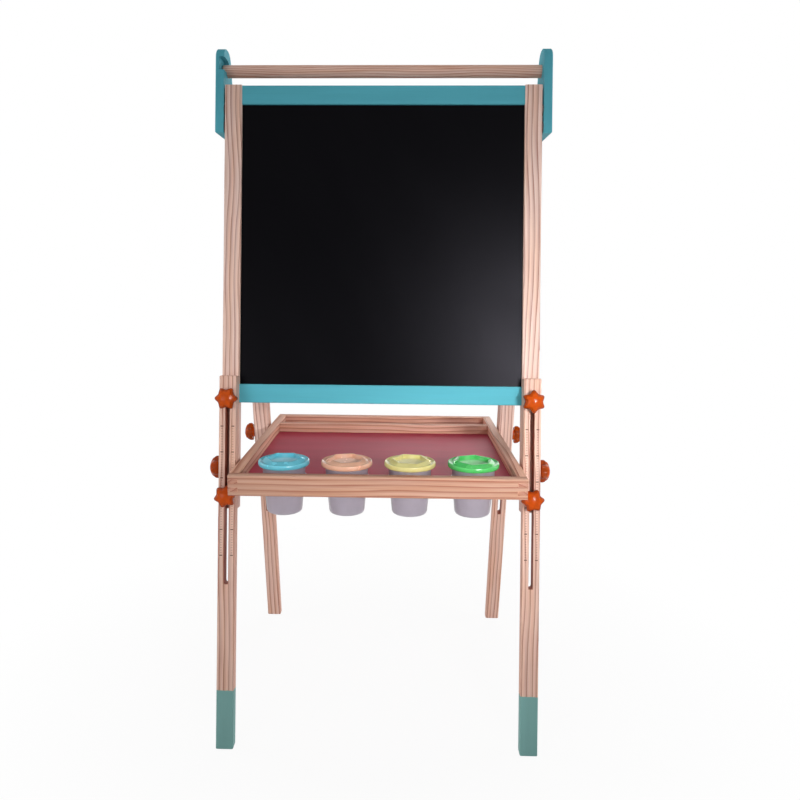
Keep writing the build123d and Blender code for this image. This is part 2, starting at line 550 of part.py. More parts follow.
# Four tapered paint cups that hang by a shoulder in the panel, each under a funnel lid.
cup_base_z = PANEL_TOP_Z - CUP_BELOW_PANEL
shoulder_top_z = PANEL_TOP_Z + CUP_SHOULDER_HEIGHT
lid_plate_z = CUP_RIM_Z + LID_FIT
lid_top_z = lid_plate_z + LID_PLATE
lid_skirt_z = CUP_RIM_Z - LID_SKIRT_DROP
funnel_z = lid_top_z - LID_FUNNEL_DEPTH
tube_end_z = funnel_z - LID_TUBE_LENGTH
skirt_bore = CUP_RIM_RADIUS + LID_FIT
for name, x in zip(LID_TURN, CUP_X):
    section_plane = Plane((x, CUP_Y, 0), x_dir=(1, 0, 0), z_dir=(0, -1, 0))
    cup_axis = Axis((x, CUP_Y, 0), (0, 0, 1))
    with BuildPart() as cup:
        with BuildSketch(section_plane):
            with BuildLine():
                Polyline(
                    (0, cup_base_z),
                    (CUP_BASE_RADIUS, cup_base_z),
                    (CUP_NECK_RADIUS, PANEL_TOP_Z),
                    (CUP_SHOULDER_RADIUS, PANEL_TOP_Z),
                    (CUP_SHOULDER_RADIUS, shoulder_top_z),
                    (CUP_NECK_RADIUS, shoulder_top_z),
                    (CUP_RIM_RADIUS, CUP_RIM_Z),
                    (CUP_RIM_RADIUS - CUP_WALL, CUP_RIM_Z),
                    (CUP_NECK_RADIUS - CUP_WALL, PANEL_TOP_Z),
                    (CUP_BASE_RADIUS - CUP_WALL, cup_base_z + CUP_WALL),
                    (0, cup_base_z + CUP_WALL),
                    close=True,
                )
            make_face()
        revolve(axis=cup_axis)
    save(cup, f"{name}_cup")

    with BuildPart() as lid:
        with BuildSketch(section_plane):
            with BuildLine():
                Polyline(
                    (LID_RADIUS, lid_skirt_z),
                    (LID_RADIUS, lid_top_z),
                    (LID_DISH_RADIUS, lid_top_z),
                    (LID_TUBE_RADIUS, funnel_z),
                    (LID_TUBE_RADIUS, tube_end_z),
                    (LID_TUBE_RADIUS + LID_WALL, tube_end_z),
                    (LID_TUBE_RADIUS + LID_WALL, funnel_z - LID_WALL / 2),
                    (LID_DISH_RADIUS, lid_plate_z),
                    (skirt_bore, lid_plate_z),
                    (skirt_bore, lid_skirt_z),
                    close=True,
                )
            make_face()
        revolve(axis=cup_axis)
        with BuildSketch(Plane((x, CUP_Y, lid_top_z))):
            RegularPolygon(LID_COLLAR_RADIUS, 6, rotation=LID_TURN[name])
            RegularPolygon(LID_COLLAR_RADIUS - LID_COLLAR_WALL, 6, rotation=LID_TURN[name], mode=Mode.SUBTRACT)
        extrude(amount=LID_COLLAR_HEIGHT)
        with BuildSketch(Plane((x, CUP_Y, lid_top_z + LID_COLLAR_HEIGHT))):
            Rectangle(2 * LID_COLLAR_RADIUS, LID_NOTCH_WIDTH, rotation=LID_TURN[name])
        extrude(amount=-LID_NOTCH_DEPTH, mode=Mode.SUBTRACT)
    save(lid, f"{name}_lid")
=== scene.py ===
"""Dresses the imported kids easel: bare and painted pine, boards, star knobs, paint cups and a plain studio."""

import json
import math

import bmesh
import bpy
from bpy.props import FloatProperty, FloatVectorProperty, IntProperty, PointerProperty
from mathutils import Matrix, Vector


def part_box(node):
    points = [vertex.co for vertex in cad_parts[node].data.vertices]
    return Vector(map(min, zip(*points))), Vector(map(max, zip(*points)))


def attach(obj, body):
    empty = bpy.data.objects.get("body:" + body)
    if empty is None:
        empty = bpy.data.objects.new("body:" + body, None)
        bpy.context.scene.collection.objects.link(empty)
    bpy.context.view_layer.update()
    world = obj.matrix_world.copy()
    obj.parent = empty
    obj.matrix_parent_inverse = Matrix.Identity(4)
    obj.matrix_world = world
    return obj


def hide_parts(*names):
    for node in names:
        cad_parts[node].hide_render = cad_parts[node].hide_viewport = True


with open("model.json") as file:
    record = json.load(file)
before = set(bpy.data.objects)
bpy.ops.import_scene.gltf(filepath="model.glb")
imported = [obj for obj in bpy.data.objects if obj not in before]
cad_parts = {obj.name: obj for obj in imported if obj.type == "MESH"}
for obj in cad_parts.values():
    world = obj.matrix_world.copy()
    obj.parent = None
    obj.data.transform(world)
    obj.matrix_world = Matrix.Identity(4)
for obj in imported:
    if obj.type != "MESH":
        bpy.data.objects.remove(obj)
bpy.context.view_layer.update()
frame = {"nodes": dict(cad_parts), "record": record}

bl_info = {
    "name": "Kids easel looks",
    "version": (1, 0, 0),
    "blender": (4, 5, 0),
    "location": "View3D > Sidebar > Easel",
    "description": "Dresses the packed kids easel and sets up its studio",
    "category": "Object",
}

# Where things are on the easel, in metres. Along a leaning frame a height is a distance from its top end.
LEAN = math.radians(10.0)
FRAME_TOP_Y = 0.032
FRAME_TOP_Z = 1.058
FRAME_TOP_ALONG = FRAME_TOP_Z * math.cos(LEAN) - FRAME_TOP_Y * math.sin(LEAN)
FOOT_ALONG = FRAME_TOP_ALONG - FRAME_TOP_Z / math.cos(LEAN)
BAR_X = 0.244
BAR_MIDDLE = -0.009
LEG_FACE = 0.0182
LEG_BOLT_HEIGHTS = {"upper": 0.512, "lower": 0.668}
SLOT_HALF = 0.0036
SLOT_TOP = 0.5085
SLOT_END = 0.811
TRAY_PIVOT = 0.625
ENDS = ("front", "rear")
SIDES = {"left": -1, "right": 1}
NODE_BODY = {
    node: body
    for body, members in frame["record"]["behaviour"]["bodies"].items()
    for node in members
}

# Pine: how far apart its growth rings are, how they wander, and how the grain of each piece is turned.
RING_SPACING = 0.0058
TRAY_RING_SPACING = 0.0076
BAR_RING_SPACING = 0.0034
RING_SCALE = 0.314
GRAIN_SWAY = 0.012
HEARTWOOD = (0.96, 0.84, 0.72)
UNTURNED = (0.0, 0.0, 0.0)
GRAIN_TURNS = {
    "front": (LEAN, 0.0, 0.0),
    "rear": (-LEAN, 0.0, 0.0),
    "across": (0.0, math.radians(-90.0), 0.0),
    "along": (math.radians(90.0), 0.0, 0.0),
}
PINE_RELIEF = 0.0003
BAR_LINE_SHADE = 1.45

# How sharply the painted shade in a leg's slot and the foot paint end, and the way the boards are wiped. Rear
# feet have no paint.
SLOT_SIDE_BLEND = 0.0002
SLOT_END_BLEND = 0.0004
PAINT_BLEND = 0.0004
PAINT_RAGGED = 0.0006
NO_FOOT_PAINT = -0.01
CHALK_WIPE = (0.0, math.radians(28.0), 0.0)
PEN_WIPE = (0.0, math.radians(-20.0), 0.0)

# The angles in degrees past which an edge stays sharp or is rounded, and the steps of a rounded edge.
SOFT_ANGLE = 35.0
CRISP_ANGLE = 30.0
TRAY_ANGLE = 50.0
EDGE_STEPS = 2
MERGE_DISTANCE = 1e-6

# Star knobs. An edge point is how far it lies in from the star's outline and below the dome, in edge widths.
KNOB_BASE = 0.0198
SIDE_KNOB_X = 0.2581
LEG_KNOB_TURN = {"left": {"upper": 0.0, "lower": 15.0}, "right": {"upper": 30.0, "lower": 5.0}}
KNOB_POINTS = 6
KNOB_SAMPLES = 5
KNOB_ROUNDING = math.radians(7.0)
KNOB_SEGMENTS = 120
KNOB_BOSS = 0.010
KNOB_BOSS_HEIGHT = 0.0035
KNOB_BOSS_EDGE = 0.0006
KNOB_SHOULDER = 0.0110
KNOB_EDGE = 0.0022
KNOB_EDGE_POINTS = ((0.0, 1.6), (0.15, 0.85), (0.5, 0.35), (1.0, 0.1))
DOME_START = 1.6
DOME_RINGS = (1.0, 0.85, 0.7, 0.55, 0.4, 0.25, 0.12, 0.0)
# The painted shade round a knob's outline: the attribute that holds it, and the share of the way out from the
# middle where it starts.
KNOB_SHADE_RIM = "knob_rim"
SHADE_RIM_START = 0.7

# Paint cups and lids. A profile lists levels, each with its points: a radius and a height above the level.
ROUND_SEGMENTS = 96
CUP_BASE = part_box("blue_cup")[0].z
CUP_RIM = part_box("blue_cup")[1].z
PANEL_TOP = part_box("tray_panel")[1].z
COLLAR_HEIGHT = 0.004
LID_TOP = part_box("blue_lid")[1].z - COLLAR_HEIGHT
LID_SKIRT = CUP_RIM - 0.0045
LID_PLATE = LID_TOP - 0.0024
FUNNEL_NECK = LID_TOP - 0.010
FUNNEL_END = FUNNEL_NECK - 0.014
LID_TURN = {"blue": 4.0, "peach": 15.0, "yellow": -8.0, "green": 20.0}
CUP_PROFILE = (
    (CUP_BASE, (
        (0.0, 0.0010), (0.0225, 0.0010), (0.0232, 0.0002), (0.0240, 0.0),
        (0.0254, 0.0003), (0.0266, 0.0010), (0.0275, 0.0022), (0.0281, 0.0040))),
    (PANEL_TOP, (
        (0.0326, 0.0), (0.0356, 0.0), (0.0360, 0.0004),
        (0.0360, 0.0016), (0.0356, 0.0020), (0.0329, 0.0022))),
    (CUP_RIM, (
        (0.0337, -0.0030), (0.0342, -0.0026), (0.0342, -0.0004),
        (0.0338, 0.0), (0.0330, 0.0), (0.0326, -0.0004))),
    (PANEL_TOP, ((0.0310, 0.0),)),
    (CUP_BASE, ((0.0265, 0.0046), (0.0256, 0.0032), (0.0240, 0.0024), (0.0224, 0.0021), (0.0, 0.0021))),
)
LID_PROFILE = (
    (LID_SKIRT, ((0.0393, 0.0), (0.0399, 0.0008), (0.0402, 0.0022))),
    (LID_TOP, (
        (0.0401, -0.0026), (0.0398, -0.0010), (0.0392, -0.0001), (0.0384, 0.0003), (0.0376, 0.0001),
        (0.0368, -0.0006), (0.0356, -0.0009), (0.0255, -0.0009), (0.0246, -0.0012), (0.0234, -0.0020))),
    (FUNNEL_NECK, ((0.0098, 0.0004), (0.0084, -0.0006), (0.0080, -0.0020))),
    (FUNNEL_END, ((0.0080, 0.0003), (0.0084, 0.0), (0.0092, 0.0), (0.0096, 0.0003))),
    (FUNNEL_NECK, ((0.0096, -0.0012),)),
    (LID_PLATE, ((0.0236, -0.0010), (0.0252, -0.0002), (0.0262, 0.0), (0.0347, 0.0))),
    (LID_SKIRT, ((0.0347, 0.0004), (0.0351, 0.0))),
)
# Where the painted light in a lid's funnel ends, and how softly it fades.
FUNNEL_LIGHT_RADIUS = 0.0205
FUNNEL_LIGHT_BLEND = 0.003

# The six-sided collar on a lid. Its heights are from the lid's top.
COLLAR_SEGMENTS = 360
COLLAR_BASE = 0.0338
COLLAR_CORNER = 0.0298
COLLAR_ROUNDING = math.radians(3.0)
COLLAR_WALL = 0.0030
COLLAR_EDGE = 0.0006
COLLAR_FRONT = 0.0026
COLLAR_SLIT = 0.0026
COLLAR_SLIT_FLOOR = -0.0004
COLLAR_FOOT = -0.0012
COLLAR_SINK = -0.0036

# Fasteners. A hexagon socket is three bars, a cross is two and a slot is one.
SEAT_AXIS = "seat_axis"
HEAD_SEGMENTS = 36
SHANK_SEGMENTS = 24
SHANK_LAP = 0.0005
FASTENER_EDGE = 0.0003
HEXAGON = 1 / math.sqrt(3)
FASTENER_SIZES = (
    "Head Radius", "Head Top Radius", "Head Height", "Shank Radius", "Shank Length",
    "Recess Bars", "Recess Length", "Recess Width", "Recess Depth",
)
FASTENERS = {
    "plate_screw": (0.005, 0.0049, 0.0028, 0.0025, 0.030, 2, 0.0056, 0.0013, 0.0017),
    "pivot_bolt": (0.008, 0.0079, 0.0045, 0.004, 0.029, 3, 0.006, 0.006 * HEXAGON, 0.003),
    "rail_bolt": (0.0055, 0.0054, 0.0032, 0.003, 0.062, 3, 0.004, 0.004 * HEXAGON, 0.0022),
    "barrel_nut": (0.005, 0.005, 0.012, 0.003, 0.0002, 1, 0.008, 0.0014, 0.0014),
    "leg_bolt": (0.007, 0.0046, 0.0031, 0.003, 0.0506, 3, 0.004, 0.004 * HEXAGON, 0.0016),
}
PLATE_FACE = 0.274
UPRIGHT_FACE = 0.258
UPRIGHT_BACK = -0.018
BARREL_X = 0.205
BARREL_SEAT = -0.004
PLATE_SCREW_HEIGHTS = (0.038, 0.066)
PIVOT_HEIGHTS = (0.046,)
RAIL_HEIGHTS = (0.0155, 0.501)

# Height ticks.
TICK_THICKNESS = 0.0004
TICK_OFFSET = 0.0087
FIRST_TICK = 0.5565

# The studio. A lamp has a place, an aim, a size, a beam in degrees, a power, and whether it only adds sheen.
LAMPS = {
    "key_lamp": ((0.52, -1.3, 0.78), (0.16, -0.08, 0.55), 0.25, 52.0, 1.05, False),
    "fill_lamp": ((-0.9, -1.5, 0.72), (0.0, -0.1, 0.55), 0.8, 70.0, 1.25, False),
    "low_lamp": ((0.45, -1.5, 0.22), (0.08, 0.0, 0.2), 0.6, 80.0, 0.15, False),
    "top_lamp": ((0.0, -0.5, 2.0), (0.0, -0.05, 0.4), 0.8, 100.0, 0.6, False),
    "back_lamp": ((0.7, 2.1, 1.1), (0.0, 0.1, 0.5), 1.8, 150.0, 14.0, False),
    "left_lamp": ((-2.2, 0.3, 0.9), (0.0, 0.0, 0.5), 1.2, 150.0, 9.0, False),
    "right_lamp": ((2.2, 0.3, 0.9), (0.0, 0.0, 0.5), 1.2, 150.0, 10.0, False),
    "sheen_lamp": ((0.53, -1.3, 1.0), (0.2, -0.1, 0.64), 0.4, 70.0, 2.6, True),
}
AMBIENT = 0.26
WHITE = (1.0, 1.0, 1.0)
FLOOR_WHITE = (0.86, 0.86, 0.86)
FLOOR_HALF = 7.0
FLOOR_GLOW = 0.93
SHADOW_NEAR = 0.3
SHADOW_FAR = 0.8
SENSOR_WIDTH = 36.0

# The sockets of a colour mix node that have no name of their own.
MIX_FIRST_COLOUR = 6
MIX_SECOND_COLOUR = 7
MIX_COLOUR_RESULT = 2


# Settings.


def rgb(red, green, blue):
    """A screen colour from 0 to 255 as the linear colour that a shader takes."""
    def linear(value):
        part = value / 255
        return part / 12.92 if part <= 0.04045 else ((part + 0.055) / 1.055) ** 2.4
    return (linear(red), linear(green), linear(blue))


def colour(name, description, default):
    """A colour property."""
    return FloatVectorProperty(
        name=name, description=description, subtype="COLOR", size=3, min=0.0, max=1.0, default=default)


def length(name, description, default):
    """A length property in metres."""
    return FloatProperty(
        name=name, description=description, subtype="DISTANCE", unit="LENGTH",
        min=0.0, precision=4, default=default)


def angle(name, description, degrees):
    """An angle property."""
    return FloatProperty(
        name=name, description=description, subtype="ANGLE", unit="ROTATION", default=math.radians(degrees))


class EaselColours(bpy.types.PropertyGroup):
    """The colours of the easel's finishes."""

    # The uprights' pine is paler and the legs' and roll bar's deeper: partly the wood's own tone, partly
    # painted light and shade for the stronger light on the uprights.
    upright_pine: colour("Upright pine", "The uprights, between the grain lines", rgb(247, 218, 206))
    leg_pine: colour("Leg pine", "The legs and the roll bar, between the grain lines", rgb(242, 207, 191))
    tray_pine: colour("Tray pine", "The front of the tray, between the grain lines", rgb(210, 168, 146))
    back_pine: colour("Tray back pine", "The back, sides and divider of the tray", rgb(236, 190, 168))
    pine_line: colour("Pine grain", "The grain lines of all the bare wood", rgb(160, 84, 62))
    # Painted shade: the slots' walls are coloured darker than the pine, for the shade inside the slots.
    slot: colour("Slot", "The walls of the legs' slots", rgb(168, 92, 70))
    paint: colour("Turquoise paint", "The painted rails and side plates", rgb(92, 180, 197))
    foot_paint: colour("Foot paint", "The thin paint on the front feet", rgb(130, 178, 174))
    chalkboard: colour("Chalkboard", "The black board", rgb(1, 1, 2))
    whiteboard: colour("White board", "The board at the back", rgb(230, 232, 234))
    panel: colour("Tray panel", "The stained bottom of the tray", rgb(196, 70, 92))
    knob: colour("Knob", "The moulded star knobs", rgb(196, 76, 4))
    steel: colour("Steel", "Bolts, screws and washers", rgb(158, 160, 165))
    nylon: colour("Nylon", "The spacers and hinge washers", rgb(34, 34, 37))
    cup: colour("Cup", "The frosted paint cups", rgb(221, 213, 224))
    blue_lid: colour("Blue lid", "The first lid", rgb(120, 218, 238))
    peach_lid: colour("Peach lid", "The second lid", rgb(252, 196, 166))
    yellow_lid: colour("Yellow lid", "The third lid", rgb(240, 230, 154))
    green_lid: colour("Green lid", "The fourth lid", rgb(92, 212, 112))
    tick: colour("Height ticks", "The marks printed beside the slots", rgb(112, 74, 60))


class EaselSizes(bpy.types.PropertyGroup):
    """The sizes of the visual details."""

    knob_point: length("Knob point radius", "The star's corners before they are rounded", 0.020)
    knob_valley: length("Knob hollow radius", "The star's hollows before they are rounded", 0.0134)
    knob_height: length("Knob height", "From the washer to the top of the knob", 0.020)
    foot_paint: length("Foot paint", "The painted length of the front legs", 0.0918)
    tick_count: IntProperty(name="Ticks", description="Height ticks on each side of a slot", min=1, default=6)
    tick_spacing: length("Tick spacing", "From one height tick to the next", 0.0416)
    tick_width: length("Tick width", "The length of one height tick", 0.0044)
    tick_height: length("Tick height", "The stroke of one height tick", 0.0017)
    fine_ticks: IntProperty(
        name="Fine ticks", description="Parts between two height ticks", min=1, default=10)
    fine_width: length("Fine tick width", "The length of one fine tick", 0.0026)
    fine_height: length("Fine tick height", "The stroke of one fine tick", 0.00045)
    tray_edge: length("Tray edge", "The rounding of the tray's edges", 0.0011)


class EaselStudio(bpy.types.PropertyGroup):
    """The studio around the easel."""

    camera_place: FloatVectorProperty(
        name="Camera", description="Where the camera stands", subtype="TRANSLATION", unit="LENGTH",
        size=3, default=(0.031627, -1.240829, 0.755734))
    camera_pitch: angle("Pitch", "How far the camera looks down", 10.215)
    camera_yaw: angle("Yaw", "How far the camera turns to the left", 1.462)
    camera_roll: angle("Roll", "How far the camera leans", 0.363)
    lens: FloatProperty(
        name="Lens", description="The camera's focal length on a 36 mm sensor", subtype="DISTANCE_CAMERA",
        unit="CAMERA", default=31.522)
    shift: FloatProperty(name="Shift", description="The sideways shift of the picture", default=0.02305)
    light: FloatProperty(name="Light", description="The strength of all the lamps", min=0.0, default=1.0)


# Node building blocks.


def add_node(tree, kind, inputs=None, **settings):
    """A node with its settings and the values or links of its inputs."""
    made = tree.nodes.new(kind)
    for key, value in settings.items():
        setattr(made, key, value)
    for key, value in (inputs or {}).items():
        feed(tree, made.inputs[key], value)
    return made


def feed(tree, socket, value):
    """Set a socket to a value, or link it when the value is another socket."""
    if isinstance(value, bpy.types.NodeSocket):
        tree.links.new(value, socket)
    elif socket.type == "RGBA" and len(value) == 3:
        socket.default_value = (*value, 1.0)
    else:
        socket.default_value = value


def calculate(tree, operation, first, second=0.0):
    """The result of one math node."""
    return add_node(tree, "ShaderNodeMath", {0: first, 1: second}, operation=operation).outputs["Value"]


def vector(tree, **parts):
    """A vector from its parts."""
    return add_node(tree, "ShaderNodeCombineXYZ", parts).outputs["Vector"]


def part_of(tree, whole, axis):
    """One part of a vector."""
    return add_node(tree, "ShaderNodeSeparateXYZ", {"Vector": whole}).outputs[axis]


def span(tree, value, low, high, to_low=0.0, to_high=1.0):
    """A value moved from one range to another, held inside the new one."""
    made = add_node(tree, "ShaderNodeMapRange", {
        "Value": value, "From Min": low, "From Max": high, "To Min": to_low, "To Max": to_high}, clamp=True)
    return made.outputs["Result"]


def turned(tree, place, turn):
    """A vector turned about the origin."""
    return add_node(tree, "ShaderNodeMapping", {"Vector": place, "Rotation": turn}).outputs["Vector"]


def object_vector(tree, turn=UNTURNED, along=1.0):
    """Object coordinates, turned first and scaled along z after that."""
    place = turned(tree, add_node(tree, "ShaderNodeTexCoord").outputs["Object"], turn)
    scaled = add_node(tree, "ShaderNodeMapping", {"Vector": place, "Scale": (1.0, 1.0, along)})
    return scaled.outputs["Vector"]


def noise(tree, scale, detail=2.0, roughness=0.5, turn=UNTURNED, along=1.0):
    """A noise pattern's value. It is drawn out along z where the scale there is under one."""
    made = add_node(tree, "ShaderNodeTexNoise", {
        "Vector": object_vector(tree, turn, along), "Scale": scale, "Detail": detail, "Roughness": roughness})
    return made.outputs["Fac"]


def mix_colour(tree, share, first, second):
    """Two colours mixed by a share."""
    made = add_node(tree, "ShaderNodeMix", data_type="RGBA")
    feed(tree, made.inputs["Factor"], share)
    feed(tree, made.inputs[MIX_FIRST_COLOUR], first)
    feed(tree, made.inputs[MIX_SECOND_COLOUR], second)
    return made.outputs[MIX_COLOUR_RESULT]


def varied(tree, pattern, first, second, low=0.3, high=0.7, most=1.0):
    """One colour where a pattern is low, and up to a share of another where it is high."""
    return mix_colour(tree, span(tree, pattern, low, high, 0.0, most), first, second)


def shade(tint, factor):
    """A colour made lighter or darker."""
    return tuple(min(1.0, part * factor) for part in tint)


# Materials.


def start_material(name):
    """A new node material and its shader."""
    material = bpy.data.materials.new(name)
    material.use_nodes = True
    return material, material.node_tree, material.node_tree.nodes["Principled BSDF"]


def finish_shader(tree, shader, tint, rough, relief=None, fixed=None):
    """Give a shader its colour, roughness and relief, and the values that are the same all over."""
    feed(tree, shader.inputs["Base Color"], tint)
    feed(tree, shader.inputs["Roughness"], rough)
    if relief:
        height, strength, depth = relief
        raised = add_node(tree, "ShaderNodeBump", {"Height": height, "Strength": strength, "Distance": depth})
        tree.links.new(raised.outputs["Normal"], shader.inputs["Normal"])
    for name, value in (fixed or {}).items():
        shader.inputs[name].default_value = value


def honey(tint):
    """A wood colour moved towards the honey tone of its heartwood."""
    return tuple(part * share for part, share in zip(tint, HEARTWOOD))


def pine_grain(tree, turn, spacing):
    """Growth rings that wander, fine fibres and slow changes of tone, all drawn out along the grain."""
    drift = add_node(tree, "ShaderNodeTexNoise", {
        "Vector": object_vector(tree, turn, 0.4), "Scale": 12.0, "Detail": 1.0}).outputs["Color"]
    swayed = add_node(tree, "ShaderNodeVectorMath", {
        0: drift, 1: (GRAIN_SWAY, GRAIN_SWAY, 0.0), 2: object_vector(tree, turn, 0.05),
    }, operation="MULTIPLY_ADD").outputs["Vector"]
    rings = add_node(tree, "ShaderNodeTexWave", {
        "Vector": swayed, "Scale": RING_SCALE / spacing, "Distortion": 2.6,
        "Detail": 2.0, "Detail Scale": 1.2, "Detail Roughness": 0.5,
    }, wave_type="RINGS", rings_direction="Z", wave_profile="SAW").outputs["Fac"]
    fibres = noise(tree, 820.0, 3.0, 0.6, turn, 0.015)
    tone = noise(tree, 42.0, turn=turn, along=0.08)
    return rings, fibres, tone


def grain_height(tree, rings, fibres, share):
    """The height of wood grain: a share of its rings, and its fibres."""
    return calculate(tree, "ADD", calculate(tree, "MULTIPLY", rings, share), fibres)


def pine_colour(tree, turn, light, dark, spacing):
    """The colour of planed pine, and the height of its grain."""
    rings, fibres, tone = pine_grain(tree, turn, spacing)
    line = calculate(tree, "POWER", span(tree, rings, 0.25, 1.0), 2.3)
    bold = span(tree, noise(tree, 90.0, 1.0, turn=turn, along=0.1), 0.35, 0.65, 0.7, 1.0)
    heart = noise(tree, 120.0, turn=turn, along=0.05)
    ground = varied(tree, tone, shade(light, 0.9), shade(light, 1.05), 0.32, 0.68)
    warm = varied(tree, heart, ground, honey(light), 0.42, 0.66, 0.7)
    lined = mix_colour(tree, calculate(tree, "MULTIPLY", line, bold), warm, dark)
    streaked = varied(tree, fibres, lined, shade(dark, 0.95), 0.45, 0.75, 0.32)
    facing = turned(tree, add_node(tree, "ShaderNodeTexCoord").outputs["Normal"], turn)
    end = calculate(tree, "ABSOLUTE", part_of(tree, facing, "Z"))
    final = varied(tree, end, streaked, shade(dark, 0.85), 0.8, 0.95, 0.45)
    return final, grain_height(tree, rings, fibres, 0.5)


def seal_pine(tree, shader, tint, height, strength):
    """A thin satin seal on planed pine, smoother where the grain is high."""
    rough = span(tree, height, 0.3, 1.2, 0.66, 0.5)
    finish_shader(tree, shader, tint, rough, (height, strength, PINE_RELIEF), {"Specular IOR Level": 0.15})


def pine_material(name, turn, light, dark, spacing=RING_SPACING):
    """Planed and sealed pine."""
    material, tree, shader = start_material(name)
    tint, height = pine_colour(tree, turn, light, dark, spacing)
    seal_pine(tree, shader, tint, height, 0.25)
    return material


def painted_tint(tree, turn, paint):
    """Paint brushed over pine, where the grain shows as faint streaks, and the height of that grain."""
    rings, fibres, tone = pine_grain(tree, turn, RING_SPACING)
    ground = varied(tree, tone, shade(paint, 0.93), shade(paint, 1.05))
    streaked = varied(tree, fibres, ground, shade(paint, 0.78), 0.5, 0.8, 0.25)
    return streaked, grain_height(tree, rings, fibres, 0.25)


def painted_material(name, turn, colours):
    """Turquoise satin paint on pine."""
    material, tree, shader = start_material(name)
    tint, height = painted_tint(tree, turn, colours.paint)
    rough = span(tree, height, 0.3, 1.0, 0.56, 0.68)
    finish_shader(tree, shader, tint, rough, (height, 0.14, PINE_RELIEF), {"Specular IOR Level": 0.06})
    return material


def leg_material(name, turn, colours, line):
    """A pine leg with painted shade in its slot, and a foot painted up to a line across it."""
    material, tree, shader = start_material(name)
    plain, height = pine_colour(tree, turn, colours.leg_pine, colours.pine_line, RING_SPACING)
    paint = painted_tint(tree, turn, colours.foot_paint)[0]
    across = calculate(tree, "ABSOLUTE", part_of(tree, object_vector(tree), "X"))
    aside = calculate(tree, "ABSOLUTE", calculate(tree, "SUBTRACT", across, BAR_X))
    along = part_of(tree, object_vector(tree, turn), "Z")
    bottom = FRAME_TOP_ALONG - SLOT_END
    top = FRAME_TOP_ALONG - SLOT_TOP
    # Painted shade in the slot: a darker colour across the slot's width, between its two ends.
    inside = span(tree, aside, SLOT_HALF, SLOT_HALF + SLOT_SIDE_BLEND, 0.9, 0.0)
    above = span(tree, along, bottom - SLOT_END_BLEND, bottom)
    below = span(tree, along, top, top + SLOT_END_BLEND, 1.0, 0.0)
    slot_shade_mask = calculate(tree, "MULTIPLY", inside, calculate(tree, "MULTIPLY", above, below))
    wood = mix_colour(tree, slot_shade_mask, plain, colours.slot)
    ragged = span(tree, noise(tree, 260.0, turn=turn), 0.3, 0.7, -PAINT_RAGGED, PAINT_RAGGED)
    height_here = calculate(tree, "ADD", along, ragged)
    share = span(tree, height_here, line - PAINT_BLEND, line + PAINT_BLEND, 1.0, 0.0)
    seal_pine(tree, shader, mix_colour(tree, share, wood, paint), height, 0.22)
    return material


def chalkboard_material(colours):
    """A matt black board with fine tooth and the haze of wiped chalk."""
    material, tree, shader = start_material("chalkboard_face")
    tooth = noise(tree, 1500.0)
    haze = noise(tree, 9.0, 3.0, 0.55, CHALK_WIPE, 0.35)
    ground = varied(tree, haze, colours.chalkboard, rgb(6, 6, 8), 0.45, 0.8, 0.3)
    tint = varied(tree, tooth, ground, rgb(7, 7, 9), 0.55, 0.8, 0.25)
    rough = span(tree, haze, 0.3, 0.7, 0.31, 0.37)
    finish_shader(tree, shader, tint, rough, (tooth, 0.12, 0.0002), {
        "Specular IOR Level": 0.045, "Specular Tint": (0.9, 0.86, 1.0, 1.0)})
    return material


def whiteboard_material(colours):
    """A glossy white board with the faint film that a wiper leaves."""
    material, tree, shader = start_material("whiteboard_face")
    film = noise(tree, 12.0, 3.0, 0.5, PEN_WIPE, 0.3)
    tint = varied(tree, film, colours.whiteboard, shade(colours.whiteboard, 0.93), 0.4, 0.75, 0.5)
    rough = span(tree, film, 0.3, 0.7, 0.14, 0.26)
    finish_shader(tree, shader, tint, rough, (noise(tree, 240.0), 0.05, 0.0002), {
        "Coat Weight": 0.3, "Coat Roughness": 0.08})
    return material


def panel_material(colours):
    """Thin stained board with a close grain across the tray."""
    material, tree, shader = start_material("tray_panel_stain")
    fibres = noise(tree, 700.0, 3.0, 0.6, GRAIN_TURNS["across"], 0.02)
    cloud = noise(tree, 16.0, 3.0, 0.5, GRAIN_TURNS["across"], 0.3)
    ground = varied(tree, cloud, shade(colours.panel, 0.86), shade(colours.panel, 1.06))
    tint = varied(tree, fibres, ground, shade(colours.panel, 0.6), 0.45, 0.75, 0.4)
    rough = span(tree, fibres, 0.3, 0.7, 0.58, 0.46)
    finish_shader(tree, shader, tint, rough, (fibres, 0.15, 0.0002), {"Specular IOR Level": 0.12})
    return material


def knob_material(colours):
    """Glossy moulded plastic with a faint flow mottle, and painted shade that darkens it round the star's
    outline.
    """
    material, tree, shader = start_material("star_knob_plastic")
    flow = noise(tree, 130.0, 3.0)
    plastic = varied(tree, flow, shade(colours.knob, 0.88), shade(colours.knob, 1.1))
    rim = add_node(tree, "ShaderNodeAttribute", attribute_name=KNOB_SHADE_RIM).outputs["Fac"]
    # Painted shade: the plastic is darkened towards the star's outline.
    tint = mix_colour(tree, rim, plastic, shade(colours.knob, 0.6))
    rough = span(tree, flow, 0.3, 0.7, 0.12, 0.2)
    finish_shader(tree, shader, tint, rough, (noise(tree, 2200.0, 1.0), 0.03, 0.0001), {
        "Specular IOR Level": 0.13})
    return material


def steel_material(colours):
    """Bright zinc plating with small scuffs."""
    material, tree, shader = start_material("zinc_plate")
    crystals = noise(tree, 420.0, 3.0)
    tint = varied(tree, crystals, shade(colours.steel, 0.82), colours.steel)
    rough = span(tree, crystals, 0.3, 0.7, 0.26, 0.44)
    finish_shader(tree, shader, tint, rough, (crystals, 0.06, 0.0001), {"Metallic": 1.0})
    return material


def nylon_material(colours):
    """Black moulded nylon."""
    material, tree, shader = start_material("black_nylon_moulding")
    grain = noise(tree, 900.0)
    tint = varied(tree, grain, colours.nylon, shade(colours.nylon, 1.6), 0.35, 0.7)
    finish_shader(tree, shader, tint, span(tree, grain, 0.3, 0.7, 0.42, 0.58), (grain, 0.1, 0.0001))
    return material


